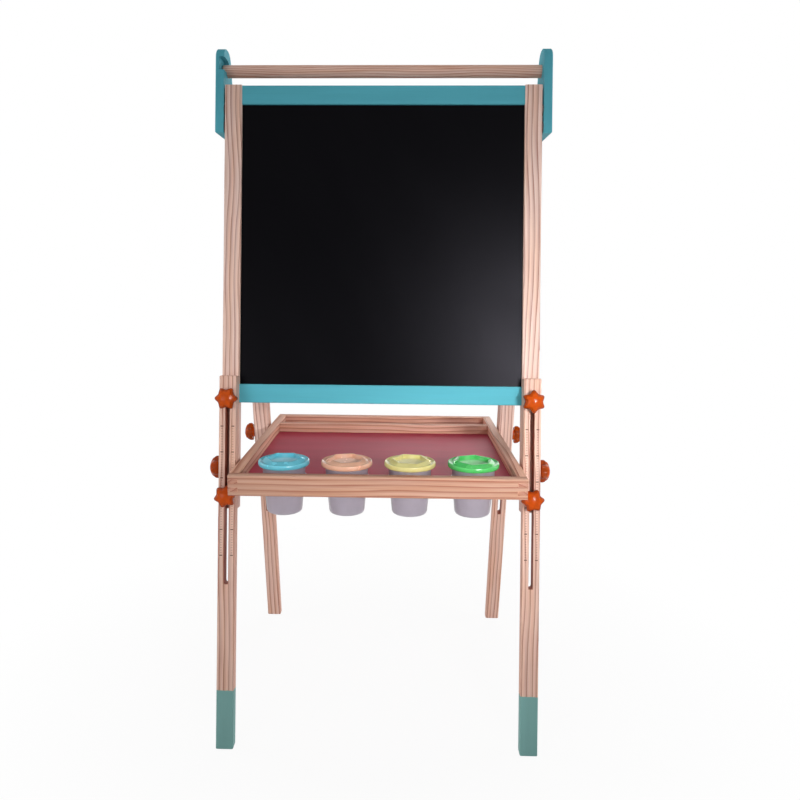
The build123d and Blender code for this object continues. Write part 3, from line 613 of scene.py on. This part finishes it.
def cup_material(colours):
    """Frosted plastic that lets the light and the lid's funnel through."""
    material, tree, shader = start_material("frosted_cup_plastic")
    cloud = noise(tree, 90.0, 3.0)
    tint = varied(tree, cloud, shade(colours.cup, 0.94), colours.cup)
    rough = span(tree, cloud, 0.3, 0.7, 0.3, 0.38)
    finish_shader(tree, shader, tint, rough, (noise(tree, 1400.0), 0.02, 0.0001), {
        "Transmission Weight": 0.62, "IOR": 1.25, "Coat Weight": 0.35, "Coat Roughness": 0.12})
    return material


def painted_through_light(tint):
    """A tint made paler as painted light, for the light that comes through plastic so thin."""
    return tuple(0.35 * part + 0.65 for part in tint)


def lid_material(name, tint, place):
    """Soft glossy plastic, moulded in one colour, with painted light that makes the thin funnel at the middle
    of the lid paler.
    """
    material, tree, shader = start_material(name)
    flow = noise(tree, 60.0, 3.0)
    moulded = varied(tree, flow, shade(tint, 0.93), shade(tint, 1.04))
    out = add_node(tree, "ShaderNodeVectorMath", {
        0: object_vector(tree, along=0.0), 1: (place.x, place.y, 0.0)}, operation="DISTANCE").outputs["Value"]
    # Painted light: the funnel at the middle of the lid is made paler.
    funnel = span(tree, out, FUNNEL_LIGHT_RADIUS, FUNNEL_LIGHT_RADIUS + FUNNEL_LIGHT_BLEND, 0.5, 0.0)
    funnel_painted_light = mix_colour(tree, funnel, moulded, painted_through_light(tint))
    rough = span(tree, flow, 0.3, 0.7, 0.2, 0.28)
    finish_shader(tree, shader, funnel_painted_light, rough, (noise(tree, 1800.0, 1.0), 0.04, 0.0001), {
        "Specular IOR Level": 0.3, "Transmission Weight": 0.18, "Subsurface Weight": 0.25,
        "Subsurface Radius": (0.6, 0.6, 0.6), "Subsurface Scale": 0.004})
    return material


def tick_material(colours):
    """Thin brown print that lets some of the wood's unevenness through."""
    material, tree, shader = start_material("height_tick_print")
    wear = noise(tree, 900.0)
    tint = varied(tree, wear, colours.tick, shade(colours.tick, 1.35), 0.4, 0.7)
    finish_shader(tree, shader, tint, span(tree, wear, 0.3, 0.7, 0.5, 0.65))
    return material


# Mesh building blocks.


def axes_matrix(across, up, out, place):
    """A matrix from three axes and a place."""
    made = Matrix((across, up, out)).transposed().to_4x4()
    made.translation = place
    return made


def frame_matrix(end):
    """A leaning frame's own axes: x across it, y up along it and z out of its face, from its top."""
    turn = 1 if end == "front" else -1
    across = Vector((turn, 0.0, 0.0))
    out = Vector((0.0, -turn * math.cos(LEAN), math.sin(LEAN)))
    return axes_matrix(across, out.cross(across), out, Vector((0.0, -turn * FRAME_TOP_Y, FRAME_TOP_Z)))


def bar_side(end, side):
    """A side of the easel as the sign of x in a frame's own axes."""
    return SIDES[side] if end == "front" else -SIDES[side]


def new_object(name, data):
    """A new object in the scene for a mesh, a lamp or a camera."""
    made = bpy.data.objects.new(name, data)
    bpy.context.scene.collection.objects.link(made)
    return made


def add_piece(name, mesh, material, body, slot, nodes=()):
    """Put a finished mesh in the scene, on its body and in place of its CAD nodes."""
    mesh.materials.clear()
    mesh.materials.append(material)
    piece = new_object(name, mesh)
    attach(piece, body)
    if nodes:
        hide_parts(*nodes)


def dress(material, *nodes):
    """Give CAD nodes a finished material."""
    for name in nodes:
        for slot in frame["nodes"][name].material_slots:
            slot.material = material


def smooth(mesh, sharp):
    """Smooth shading that keeps the edges sharper than an angle in degrees."""
    mesh.shade_smooth()
    mesh.set_sharp_from_angle(angle=math.radians(sharp))


def turned_mesh(name, section, segments, closed, sharp=SOFT_ANGLE):
    """A mesh turned about z. The section gives (radius, height) points for each angle."""
    shape = bmesh.new()
    rings = []
    for i in range(segments):
        turn = 2 * math.pi * i / segments
        rings.append([
            shape.verts.new((radius * math.cos(turn), radius * math.sin(turn), height))
            for radius, height in section(turn)
        ])
    steps = len(rings[0])
    for i, ring in enumerate(rings):
        after = rings[(i + 1) % segments]
        for j in range(steps if closed else steps - 1):
            k = (j + 1) % steps
            shape.faces.new((ring[j], after[j], after[k], ring[k]))
    bmesh.ops.remove_doubles(shape, verts=shape.verts, dist=MERGE_DISTANCE)
    bmesh.ops.recalc_face_normals(shape, faces=shape.faces)
    mesh = shaped_mesh(name, shape)
    smooth(mesh, sharp)
    return mesh


def shaped_mesh(name, shape):
    """A new mesh from a shape, which is then let go."""
    mesh = bpy.data.meshes.new(name)
    shape.to_mesh(mesh)
    shape.free()
    return mesh


def joined_mesh(name, meshes):
    """Several meshes as one."""
    shape = bmesh.new()
    for mesh in meshes:
        shape.from_mesh(mesh)
        bpy.data.meshes.remove(mesh)
    return shaped_mesh(name, shape)


def softened_copy(node, width):
    """A copy of a CAD node with its sharp edges rounded."""
    shape = bmesh.new()
    shape.from_mesh(frame["nodes"][node].data)
    bmesh.ops.remove_doubles(shape, verts=shape.verts, dist=MERGE_DISTANCE)
    bmesh.ops.dissolve_limit(shape, angle_limit=math.radians(1.0), verts=shape.verts, edges=shape.edges)
    holder = new_object(f"{node}_holder", shaped_mesh(f"{node}_soft", shape))
    round_edges(holder, width, TRAY_ANGLE)
    return finished_mesh(holder, f"{node}_edges")


def round_edges(holder, width, sharp):
    """A bevel on the edges that are sharper than an angle in degrees."""
    bevel = holder.modifiers.new("edge", "BEVEL")
    bevel.width = width
    bevel.segments = EDGE_STEPS
    bevel.limit_method = "ANGLE"
    bevel.angle_limit = math.radians(sharp)


def finished_mesh(holder, name):
    """The mesh that an object's modifiers give. The object itself is removed."""
    bpy.context.view_layer.update()
    evaluated = holder.evaluated_get(bpy.context.evaluated_depsgraph_get())
    mesh = bpy.data.meshes.new_from_object(evaluated)
    mesh.name = name
    holder.modifiers.clear()
    bpy.data.objects.remove(holder)
    return mesh


# Star knobs.


def star_radius(turn, point, valley):
    """The radius of a star with straight flanks and rounded corners."""
    pitch = math.pi / KNOB_POINTS

    def straight(spot):
        part = spot % (2 * pitch)
        part = min(part, 2 * pitch - part)
        return point * valley * math.sin(pitch) / (point * math.sin(part) + valley * math.sin(pitch - part))

    shifts = [KNOB_ROUNDING * (2 * i / (KNOB_SAMPLES - 1) - 1) for i in range(KNOB_SAMPLES)]
    return sum(straight(turn + shift) for shift in shifts) / KNOB_SAMPLES


def knob_section(sizes):
    """The star knob's section: boss, star with rounded edges and a domed top."""
    point, valley, height = sizes.knob_point, sizes.knob_valley, sizes.knob_height
    dome = (height - KNOB_SHOULDER) / point ** 2

    def top(radius):
        return height - dome * radius ** 2

    def section(turn):
        radius = star_radius(turn, point, valley)
        inner = radius - DOME_START * KNOB_EDGE
        outline = [
            (0.0, 0.0),
            (KNOB_BOSS - KNOB_BOSS_EDGE, 0.0),
            (KNOB_BOSS, KNOB_BOSS_EDGE),
            (KNOB_BOSS, KNOB_BOSS_HEIGHT),
            (radius - KNOB_EDGE, KNOB_BOSS_HEIGHT),
            (radius - 0.3 * KNOB_EDGE, KNOB_BOSS_HEIGHT + 0.3 * KNOB_EDGE),
            (radius, KNOB_BOSS_HEIGHT + KNOB_EDGE),
        ]
        outline += [
            (radius - back * KNOB_EDGE, top(radius) - drop * KNOB_EDGE) for back, drop in KNOB_EDGE_POINTS
        ]
        return outline + [(inner * share, top(inner * share)) for share in DOME_RINGS]

    return section


def mark_painted_rim_shade(mesh, sizes):
    """Store how much painted shade each point of a knob gets, by how near it is to the star's outline: zero on
    the dome, one at the rim.
    """
    shares = []
    for vertex in mesh.vertices:
        x, y = vertex.co.xy
        outline = star_radius(math.atan2(y, x), sizes.knob_point, sizes.knob_valley)
        share = (math.hypot(x, y) / outline - SHADE_RIM_START) / (1.0 - SHADE_RIM_START)
        shares.append(min(1.0, max(0.0, share)))
    mesh.attributes.new(KNOB_SHADE_RIM, "FLOAT", "POINT").data.foreach_set("value", shares)


def knob_places():
    """Each knob's name and the matrix of its base."""
    for end in ENDS:
        axes = frame_matrix(end)
        for side in SIDES:
            sign = bar_side(end, side)
            for level, height in LEG_BOLT_HEIGHTS.items():
                turn = Matrix.Rotation(math.radians(LEG_KNOB_TURN[side][level]), 4, "Z")
                base = Matrix.Translation((sign * BAR_X, -height, KNOB_BASE))
                yield f"{end}_{side}_{level}_knob", axes @ base @ turn
            up = axes.to_3x3() @ Vector((0.0, 1.0, 0.0))
            out = axes.to_3x3() @ Vector((sign, 0.0, 0.0))
            place = axes @ Vector((sign * SIDE_KNOB_X, -TRAY_PIVOT, BAR_MIDDLE))
            yield f"{end}_{side}_tray_knob", axes_matrix(up, out.cross(up), out, place)


# Paint cups and their lids.


def round_section(profile):
    """A section that is the same all the way round."""
    outline = [(radius, level + height) for level, points in profile for radius, height in points]
    return lambda turn: outline


def hexagon_radius(turn):
    """The radius of a hexagon with softened corners."""
    sixth = math.pi / 3
    flat = COLLAR_CORNER * math.cos(sixth / 2)

    def straight(spot):
        return flat / math.cos(spot % sixth - sixth / 2)

    return sum(straight(turn + COLLAR_ROUNDING * i) for i in (-1, 0, 1)) / 3


def collar_section(turn):
    """The six-sided collar of a lid: it slopes up from the rim, highest at the back, slit on both sides."""
    crest = hexagon_radius(turn)
    inner = crest - COLLAR_WALL
    slope = COLLAR_BASE - crest
    height = COLLAR_FRONT + (COLLAR_HEIGHT - COLLAR_FRONT) * (0.5 + 0.5 * math.sin(turn))
    if abs(crest * math.sin(turn)) < COLLAR_SLIT:
        height = COLLAR_SLIT_FLOOR
    return [
        (COLLAR_BASE, COLLAR_FOOT),
        (crest + 0.5 * slope, 0.45 * height),
        (crest + 0.08 * slope, 0.94 * height),
        (crest - 0.3 * COLLAR_EDGE, height),
        (inner + COLLAR_EDGE, height),
        (inner + 0.2 * COLLAR_EDGE, 0.94 * height),
        (inner, 0.7 * height),
        (inner - COLLAR_EDGE, COLLAR_SINK),
    ]


# Height ticks and fasteners, made with Geometry Nodes.


def start_group(name, inputs):
    """A new node group with named inputs: its tree, the inputs' identifiers and their outputs in the tree."""
    tree = bpy.data.node_groups.new(name, "GeometryNodeTree")
    tree.interface.new_socket("Geometry", in_out="INPUT", socket_type="NodeSocketGeometry")
    sockets = {}
    for key, value in inputs.items():
        kind = "NodeSocketInt" if isinstance(value, int) else "NodeSocketFloat"
        socket = tree.interface.new_socket(key, in_out="INPUT", socket_type=kind)
        socket.default_value = value
        sockets[key] = socket.identifier
    tree.interface.new_socket("Geometry", in_out="OUTPUT", socket_type="NodeSocketGeometry")
    return tree, sockets, tree.nodes.new("NodeGroupInput").outputs


def finish_group(tree, instances, material):
    """End a node group in real geometry with a material."""
    real = add_node(tree, "GeometryNodeRealizeInstances", {"Geometry": instances})
    coloured = add_node(tree, "GeometryNodeSetMaterial", {"Geometry": real.outputs["Geometry"]})
    coloured.inputs["Material"].default_value = material
    result = tree.nodes.new("NodeGroupOutput")
    tree.links.new(coloured.outputs["Geometry"], result.inputs["Geometry"])


def grown_mesh(name, seed, group, values, edge=0.0):
    """The plain mesh that a node group makes from a seed mesh, with its edges rounded."""
    tree, sockets = group
    holder = new_object(f"{name}_holder", seed)
    modifier = holder.modifiers.new("nodes", "NODES")
    modifier.node_group = tree
    for key, value in values.items():
        modifier[sockets[key]] = value
    if edge:
        round_edges(holder, edge, CRISP_ANGLE)
    return finished_mesh(holder, name)


def tick_group(material, inputs):
    """A node group that sets a row of ticks on each side of a slot, running down from its origin."""
    tree, sockets, source = start_group("height_ticks", inputs)
    size = vector(tree, X=source["Width"], Y=source["Height"], Z=source["Thickness"])
    tick = add_node(tree, "GeometryNodeMeshCube", {"Size": size}).outputs["Mesh"]
    step = vector(tree, Y=calculate(tree, "MULTIPLY", source["Spacing"], -1.0))
    rows = tree.nodes.new("GeometryNodeJoinGeometry")
    for sign in SIDES.values():
        start = vector(tree, X=calculate(tree, "MULTIPLY", source["Offset"], float(sign)))
        line = add_node(tree, "GeometryNodeMeshLine", {
            "Count": source["Count"], "Start Location": start, "Offset": step}).outputs["Mesh"]
        marks = add_node(tree, "GeometryNodeInstanceOnPoints", {"Points": line, "Instance": tick})
        tree.links.new(marks.outputs["Instances"], rows.inputs["Geometry"])
    finish_group(tree, rows.outputs["Geometry"], material)
    return tree, sockets


def fastener(kind):
    """The sizes of one kind of fastener."""
    return dict(zip(FASTENER_SIZES, FASTENERS[kind]))


def moved_along(tree, mesh, distance):
    """Geometry moved along z."""
    return add_node(tree, "GeometryNodeTransform", {
        "Geometry": mesh, "Translation": vector(tree, Z=distance)}).outputs["Geometry"]


def recess_bars(tree, source):
    """The bars that cut a driver recess, crossed at the middle of a head's top."""
    size = vector(
        tree, X=source["Recess Length"], Y=source["Recess Width"],
        Z=calculate(tree, "MULTIPLY", source["Recess Depth"], 2.0))
    bar = add_node(tree, "GeometryNodeMeshCube", {"Size": size}).outputs["Mesh"]
    count = source["Recess Bars"]
    spokes = add_node(tree, "GeometryNodeMeshLine", {
        "Count": count, "Offset": (0.0, 0.0, 0.0)}).outputs["Mesh"]
    share = calculate(tree, "DIVIDE", add_node(tree, "GeometryNodeInputIndex").outputs[0], count)
    turn = vector(tree, Z=calculate(tree, "MULTIPLY", share, math.pi))
    bars = add_node(tree, "GeometryNodeInstanceOnPoints", {
        "Points": spokes, "Instance": bar, "Rotation": turn}).outputs["Instances"]
    real = add_node(tree, "GeometryNodeRealizeInstances", {"Geometry": bars}).outputs["Geometry"]
    return moved_along(tree, real, source["Head Height"])


def fastener_group(material):
    """A node group that sets one fastener on each point: a head with a driver recess, and its shank."""
    tree, sockets, source = start_group("fastener_set", fastener("plate_screw"))
    head = add_node(tree, "GeometryNodeMeshCone", {
        "Vertices": HEAD_SEGMENTS, "Depth": source["Head Height"],
        "Radius Top": source["Head Top Radius"], "Radius Bottom": source["Head Radius"]}).outputs["Mesh"]
    reach = calculate(tree, "ADD", source["Shank Length"], SHANK_LAP)
    shank = add_node(tree, "GeometryNodeMeshCylinder", {
        "Vertices": SHANK_SEGMENTS, "Radius": source["Shank Radius"], "Depth": reach}).outputs["Mesh"]
    sunk = calculate(tree, "SUBTRACT", SHANK_LAP, calculate(tree, "MULTIPLY", reach, 0.5))
    whole = add_node(tree, "GeometryNodeMeshBoolean", operation="UNION", solver="EXACT")
    for part in (head, moved_along(tree, shank, sunk)):
        tree.links.new(part, whole.inputs["Mesh 2"])
    cut = add_node(tree, "GeometryNodeMeshBoolean", operation="DIFFERENCE", solver="EXACT")
    tree.links.new(whole.outputs["Mesh"], cut.inputs["Mesh 1"])
    tree.links.new(recess_bars(tree, source), cut.inputs["Mesh 2"])
    cut.inputs["Self Intersection"].default_value = True
    out = add_node(tree, "GeometryNodeInputNamedAttribute", {"Name": SEAT_AXIS}, data_type="FLOAT_VECTOR")
    facing = add_node(tree, "FunctionNodeAlignRotationToVector", {
        "Vector": out.outputs["Attribute"]}, axis="Z").outputs["Rotation"]
    placed = add_node(tree, "GeometryNodeInstanceOnPoints", {
        "Points": source["Geometry"], "Instance": cut.outputs["Mesh"], "Rotation": facing})
    finish_group(tree, placed.outputs["Instances"], material)
    return tree, sockets


def seats(end, x, heights, depth=BAR_MIDDLE, inwards=False):
    """Places on both sides of a frame, and the way a head faces: out to the side, or in from its back."""
    axes = frame_matrix(end)
    made = []
    for sign in SIDES.values():
        out = Vector((0.0, 0.0, -1.0)) if inwards else Vector((sign, 0.0, 0.0))
        made += [(axes @ Vector((sign * x, -height, depth)), axes.to_3x3() @ out) for height in heights]
    return made


def seat_mesh(name, places):
    """A mesh of points, each with the direction in which its fastener's head faces."""
    mesh = bpy.data.meshes.new(f"{name}_seats")
    mesh.from_pydata([place for place, out in places], [], [])
    axes = mesh.attributes.new(SEAT_AXIS, "FLOAT_VECTOR", "POINT")
    for entry, (place, out) in zip(axes.data, places):
        entry.vector = out
    return mesh


# The studio.


def seen_directly(tree):
    """One for camera, glossy and transmitted rays, and zero for the rays that light the object."""
    path = add_node(tree, "ShaderNodeLightPath")
    seen = calculate(tree, "MAXIMUM", path.outputs["Is Camera Ray"], path.outputs["Is Glossy Ray"])
    return calculate(tree, "MAXIMUM", seen, path.outputs["Is Transmission Ray"])


def make_floor():
    """A wide white floor that keeps a soft shadow."""
    mesh = bpy.data.meshes.new("studio_floor")
    corners = ((-1, -1), (1, -1), (1, 1), (-1, 1))
    mesh.from_pydata([(x * FLOOR_HALF, y * FLOOR_HALF, 0.0) for x, y in corners], [], [(0, 1, 2, 3)])
    floor = new_object("studio_floor", mesh)
    material, tree, shader = start_material("studio_floor_white")
    finish_shader(tree, shader, FLOOR_WHITE, 0.9, fixed={"Specular IOR Level": 0.0})
    glow = add_node(tree, "ShaderNodeEmission", {"Color": WHITE, "Strength": 1.0})
    away = add_node(
        tree, "ShaderNodeVectorMath", {0: object_vector(tree)}, operation="LENGTH").outputs["Value"]
    fade = span(tree, away, SHADOW_NEAR, SHADOW_FAR, FLOOR_GLOW, 1.0)
    share = calculate(tree, "MULTIPLY", seen_directly(tree), fade)
    blend = add_node(tree, "ShaderNodeMixShader", {0: share, 1: shader.outputs[0], 2: glow.outputs[0]})
    tree.links.new(blend.outputs[0], tree.nodes["Material Output"].inputs["Surface"])
    mesh.materials.append(material)


def make_world(scene):
    """Even white surroundings: plain white where they are seen, softer where they light the object."""
    world = bpy.data.worlds.new("studio_world")
    world.use_nodes = True
    tree = world.node_tree
    background = tree.nodes["Background"]
    feed(tree, background.inputs["Color"], WHITE)
    feed(tree, background.inputs["Strength"], span(tree, seen_directly(tree), 0.0, 1.0, AMBIENT, 1.0))
    scene.world = world


def make_lamp(name, place, aim, size, beam, power, sheen):
    """A square soft lamp aimed at a point, not seen through the cups. A sheen lamp shows only in gloss."""
    lamp = bpy.data.lights.new(name, "AREA")
    lamp.shape = "SQUARE"
    lamp.size = size
    lamp.spread = math.radians(beam)
    lamp.energy = power
    holder = new_object(name, lamp)
    holder.visible_transmission = False
    holder.visible_diffuse = not sheen
    holder.location = place
    holder.rotation_euler = (Vector(aim) - Vector(place)).to_track_quat("-Z", "Y").to_euler()


def make_camera(scene, studio):
    """The photograph's camera."""
    data = bpy.data.cameras.new("photo_camera")
    data.lens = studio.lens
    data.sensor_width = SENSOR_WIDTH
    data.shift_x = studio.shift
    camera = new_object("photo_camera", data)
    yaw = Matrix.Rotation(studio.camera_yaw, 4, "Z")
    tilt = Matrix.Rotation(math.radians(90.0) - studio.camera_pitch, 4, "X")
    roll = Matrix.Rotation(studio.camera_roll, 4, "Z")
    camera.matrix_world = Matrix.Translation(studio.camera_place) @ yaw @ tilt @ roll
    scene.camera = camera


# Operators: one for each group of like pieces, and one for the stage.


class EASEL_OT_bare_pine(bpy.types.Operator):
    """Dress the unpainted uprights, legs and roll bar in planed pine."""

    bl_idname = "easel.bare_pine"
    bl_label = "Bare pine"

    def execute(self, context):
        colours = context.scene.easel_colours
        paint_lengths = {"front": context.scene.easel_sizes.foot_paint, "rear": NO_FOOT_PAINT}
        for end in ENDS:
            turn = GRAIN_TURNS[end]
            pine = pine_material(f"{end}_upright_pine", turn, colours.upright_pine, colours.pine_line)
            dress(pine, *(f"{end}_{side}_upright" for side in SIDES))
            legs = leg_material(f"{end}_leg_pine", turn, colours, FOOT_ALONG + paint_lengths[end])
            dress(legs, *(f"{end}_{side}_leg" for side in SIDES))
        line = shade(colours.pine_line, BAR_LINE_SHADE)
        across = pine_material(
            "roll_bar_pine", GRAIN_TURNS["across"], colours.leg_pine, line, BAR_RING_SPACING)
        dress(across, "paper_roll_bar")
        return {"FINISHED"}


class EASEL_OT_painted_wood(bpy.types.Operator):
    """Paint the rails and the side plates turquoise."""

    bl_idname = "easel.painted_wood"
    bl_label = "Painted wood"

    def execute(self, context):
        colours = context.scene.easel_colours
        rails = painted_material("rail_paint", GRAIN_TURNS["across"], colours)
        dress(rails, *(f"{end}_{level}_rail" for end in ENDS for level in ("top", "lower")))
        plates = painted_material("side_plate_paint", UNTURNED, colours)
        dress(plates, *(f"{side}_side_plate" for side in SIDES))
        return {"FINISHED"}


class EASEL_OT_boards(bpy.types.Operator):
    """Finish the chalkboard and the white board."""

    bl_idname = "easel.boards"
    bl_label = "Boards"

    def execute(self, context):
        colours = context.scene.easel_colours
        dress(chalkboard_material(colours), "chalkboard")
        dress(whiteboard_material(colours), "whiteboard")
        return {"FINISHED"}


class EASEL_OT_fittings(bpy.types.Operator):
    """Make the bolts and screws with their driver recesses, and finish the washers, studs and spacers."""

    bl_idname = "easel.fittings"
    bl_label = "Fittings"

    def execute(self, context):
        colours = context.scene.easel_colours
        steel = steel_material(colours)
        nylon = nylon_material(colours)
        group = fastener_group(steel)

        def fasten(node, *sets):
            meshes = []
            for kind, places in sets:
                name = f"{node}_{kind}"
                seed = seat_mesh(name, places)
                meshes.append(grown_mesh(name, seed, group, fastener(kind), FASTENER_EDGE))
            mesh = joined_mesh(f"{node}_mesh", meshes)
            smooth(mesh, SOFT_ANGLE)
            add_piece(f"driven_{node}", mesh, steel, NODE_BODY[node], "zinc_steel", (node,))

        def sunk(face, kind):
            return face - fastener(kind)["Head Height"]

        screw_x = sunk(PLATE_FACE, "plate_screw")
        fasten("plate_screws", ("plate_screw", seats("front", screw_x, PLATE_SCREW_HEIGHTS)))
        pivot_x = sunk(PLATE_FACE, "pivot_bolt")
        fasten("pivot_bolts", ("pivot_bolt", seats("rear", pivot_x, PIVOT_HEIGHTS)))
        bolt_x = sunk(UPRIGHT_FACE, "rail_bolt")
        for end in ENDS:
            fasten(
                f"{end}_rail_fasteners",
                ("rail_bolt", seats(end, bolt_x, RAIL_HEIGHTS)),
                ("barrel_nut", seats(end, BARREL_X, RAIL_HEIGHTS, BARREL_SEAT, inwards=True)))
            leg_seats = seats(end, BAR_X, LEG_BOLT_HEIGHTS.values(), UPRIGHT_BACK, inwards=True)
            fasten(f"{end}_leg_bolts", ("leg_bolt", leg_seats))
            dress(steel, f"{end}_leg_washers", *(f"{end}_{side}_tray_stud" for side in SIDES))
            dress(nylon, f"{end}_tray_spacers")
        dress(nylon, "hinge_washers")
        return {"FINISHED"}


class EASEL_OT_knobs(bpy.types.Operator):
    """Make the twelve moulded star knobs."""

    bl_idname = "easel.knobs"
    bl_label = "Star knobs"

    def execute(self, context):
        sizes = context.scene.easel_sizes
        plastic = knob_material(context.scene.easel_colours)
        section = knob_section(sizes)
        for node, place in knob_places():
            mesh = turned_mesh(f"{node}_star", section, KNOB_SEGMENTS, closed=False, sharp=CRISP_ANGLE)
            mark_painted_rim_shade(mesh, sizes)
            mesh.transform(place)
            add_piece(f"star_{node}", mesh, plastic, NODE_BODY[node], "knob_plastic", (node,))
        return {"FINISHED"}


class EASEL_OT_tray(bpy.types.Operator):
    """Round the edges of the tray's rails and divider, and finish its panel."""

    bl_idname = "easel.tray"
    bl_label = "Tray"

    def execute(self, context):
        colours = context.scene.easel_colours
        edge = context.scene.easel_sizes.tray_edge

        def wood(name, turn, light):
            return pine_material(name, GRAIN_TURNS[turn], light, colours.pine_line, TRAY_RING_SPACING)

        front = wood("tray_front_pine", "across", colours.tray_pine)
        back = wood("tray_back_pine", "across", colours.back_pine)
        sides = wood("tray_side_pine", "along", colours.back_pine)
        woods = {
            "tray_front_rail": front,
            "tray_back_rail": back,
            "tray_divider": back,
            "tray_left_rail": sides,
            "tray_right_rail": sides,
        }
        for node, material in woods.items():
            mesh = softened_copy(node, edge)
            smooth(mesh, CRISP_ANGLE)
            add_piece(f"soft_{node}", mesh, material, NODE_BODY[node], "pine", (node,))
        dress(panel_material(colours), "tray_panel")
        return {"FINISHED"}


class EASEL_OT_cups(bpy.types.Operator):
    """Make the frosted paint cups and their coloured funnel lids."""

    bl_idname = "easel.cups"
    bl_label = "Cups and lids"

    def execute(self, context):
        colours = context.scene.easel_colours
        frosted = cup_material(colours)
        for name, degrees in LID_TURN.items():
            cup_node, lid_node = f"{name}_cup", f"{name}_lid"
            low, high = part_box(cup_node)
            middle = (low + high) / 2
            place = Matrix.Translation((middle.x, middle.y, 0.0))
            cup = turned_mesh(f"{name}_cup_wall", round_section(CUP_PROFILE), ROUND_SEGMENTS, closed=False)
            cup.transform(place)
            add_piece(f"frosted_{cup_node}", cup, frosted, NODE_BODY[cup_node], "frosted_cup", (cup_node,))
            plastic = lid_material(f"{lid_node}_plastic", getattr(colours, lid_node), middle)
            dish = turned_mesh(f"{name}_dish", round_section(LID_PROFILE), ROUND_SEGMENTS, closed=True)
            collar = turned_mesh(f"{name}_collar", collar_section, COLLAR_SEGMENTS, closed=True)
            turn = Matrix.Rotation(math.radians(degrees), 4, "Z")
            collar.transform(Matrix.Translation((0.0, 0.0, LID_TOP)) @ turn)
            lid = joined_mesh(f"{name}_funnel_lid", (dish, collar))
            smooth(lid, SOFT_ANGLE)
            lid.transform(place)
            add_piece(f"funnel_{lid_node}", lid, plastic, NODE_BODY[lid_node], lid_node, (lid_node,))
        return {"FINISHED"}


class EASEL_OT_height_ticks(bpy.types.Operator):
    """Print height ticks beside the slots of the four legs."""

    bl_idname = "easel.height_ticks"
    bl_label = "Height ticks"

    def execute(self, context):
        sizes = context.scene.easel_sizes
        material = tick_material(context.scene.easel_colours)
        shared = {"Thickness": TICK_THICKNESS, "Offset": TICK_OFFSET}
        main = {
            "Count": sizes.tick_count, "Spacing": sizes.tick_spacing,
            "Width": sizes.tick_width, "Height": sizes.tick_height, **shared,
        }
        fine = {
            "Count": (sizes.tick_count - 1) * sizes.fine_ticks + 1,
            "Spacing": sizes.tick_spacing / sizes.fine_ticks,
            "Width": sizes.fine_width, "Height": sizes.fine_height, **shared,
        }
        group = tick_group(material, main)
        for end in ENDS:
            for side in SIDES:
                node = f"{end}_{side}_leg"
                rows = [
                    grown_mesh(f"{node}_{key}", bpy.data.meshes.new(f"{node}_{key}_seed"), group, values)
                    for key, values in (("main", main), ("fine", fine))
                ]
                mesh = joined_mesh(f"{node}_ticks_mesh", rows)
                x = bar_side(end, side) * BAR_X
                mesh.transform(frame_matrix(end) @ Matrix.Translation((x, -FIRST_TICK, LEG_FACE)))
                add_piece(f"{node}_ticks", mesh, material, NODE_BODY[node], "pine")
        return {"FINISHED"}


class EASEL_OT_stage(bpy.types.Operator):
    """Set up the floor, the soft lamps, the white surroundings and the camera."""

    bl_idname = "easel.stage"
    bl_label = "Studio"

    def execute(self, context):
        studio = context.scene.easel_studio
        make_floor()
        make_world(context.scene)
        for name, (place, aim, size, beam, power, sheen) in LAMPS.items():
            make_lamp(name, place, aim, size, beam, power * studio.light, sheen)
        make_camera(context.scene, studio)
        context.scene.view_settings.view_transform = "Standard"
        return {"FINISHED"}


class EASEL_PT_looks(bpy.types.Panel):
    """The easel's finishes, details and studio."""

    bl_idname = "EASEL_PT_looks"
    bl_label = "Kids easel"
    bl_space_type = "VIEW_3D"
    bl_region_type = "UI"
    bl_category = "Easel"

    def draw(self, context):
        layout = self.layout
        for operator in OPERATORS:
            layout.operator(operator.bl_idname)
        for group in GROUPS:
            settings = getattr(context.scene, group)
            box = layout.box()
            for key in settings.__annotations__:
                box.prop(settings, key)


GROUPS = {"easel_colours": EaselColours, "easel_sizes": EaselSizes, "easel_studio": EaselStudio}
OPERATORS = (
    EASEL_OT_bare_pine,
    EASEL_OT_painted_wood,
    EASEL_OT_boards,
    EASEL_OT_fittings,
    EASEL_OT_knobs,
    EASEL_OT_tray,
    EASEL_OT_cups,
    EASEL_OT_height_ticks,
    EASEL_OT_stage,
)
CLASSES = (*GROUPS.values(), *OPERATORS, EASEL_PT_looks)


def register():
    """Add the easel's settings, operators and panel to Blender."""
    for kind in CLASSES:
        bpy.utils.register_class(kind)
    for name, group in GROUPS.items():
        setattr(bpy.types.Scene, name, PointerProperty(type=group))


def unregister():
    """Take the easel's settings, operators and panel out of Blender."""
    for name in GROUPS:
        delattr(bpy.types.Scene, name)
    for kind in reversed(CLASSES):
        bpy.utils.unregister_class(kind)


def main():
    """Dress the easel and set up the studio."""
    register()
    bpy.ops.easel.bare_pine()
    bpy.ops.easel.painted_wood()
    bpy.ops.easel.boards()
    bpy.ops.easel.fittings()
    bpy.ops.easel.knobs()
    bpy.ops.easel.tray()
    bpy.ops.easel.cups()
    bpy.ops.easel.height_ticks()
    bpy.ops.easel.stage()
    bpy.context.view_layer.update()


if __name__ == "__main__":
    main()
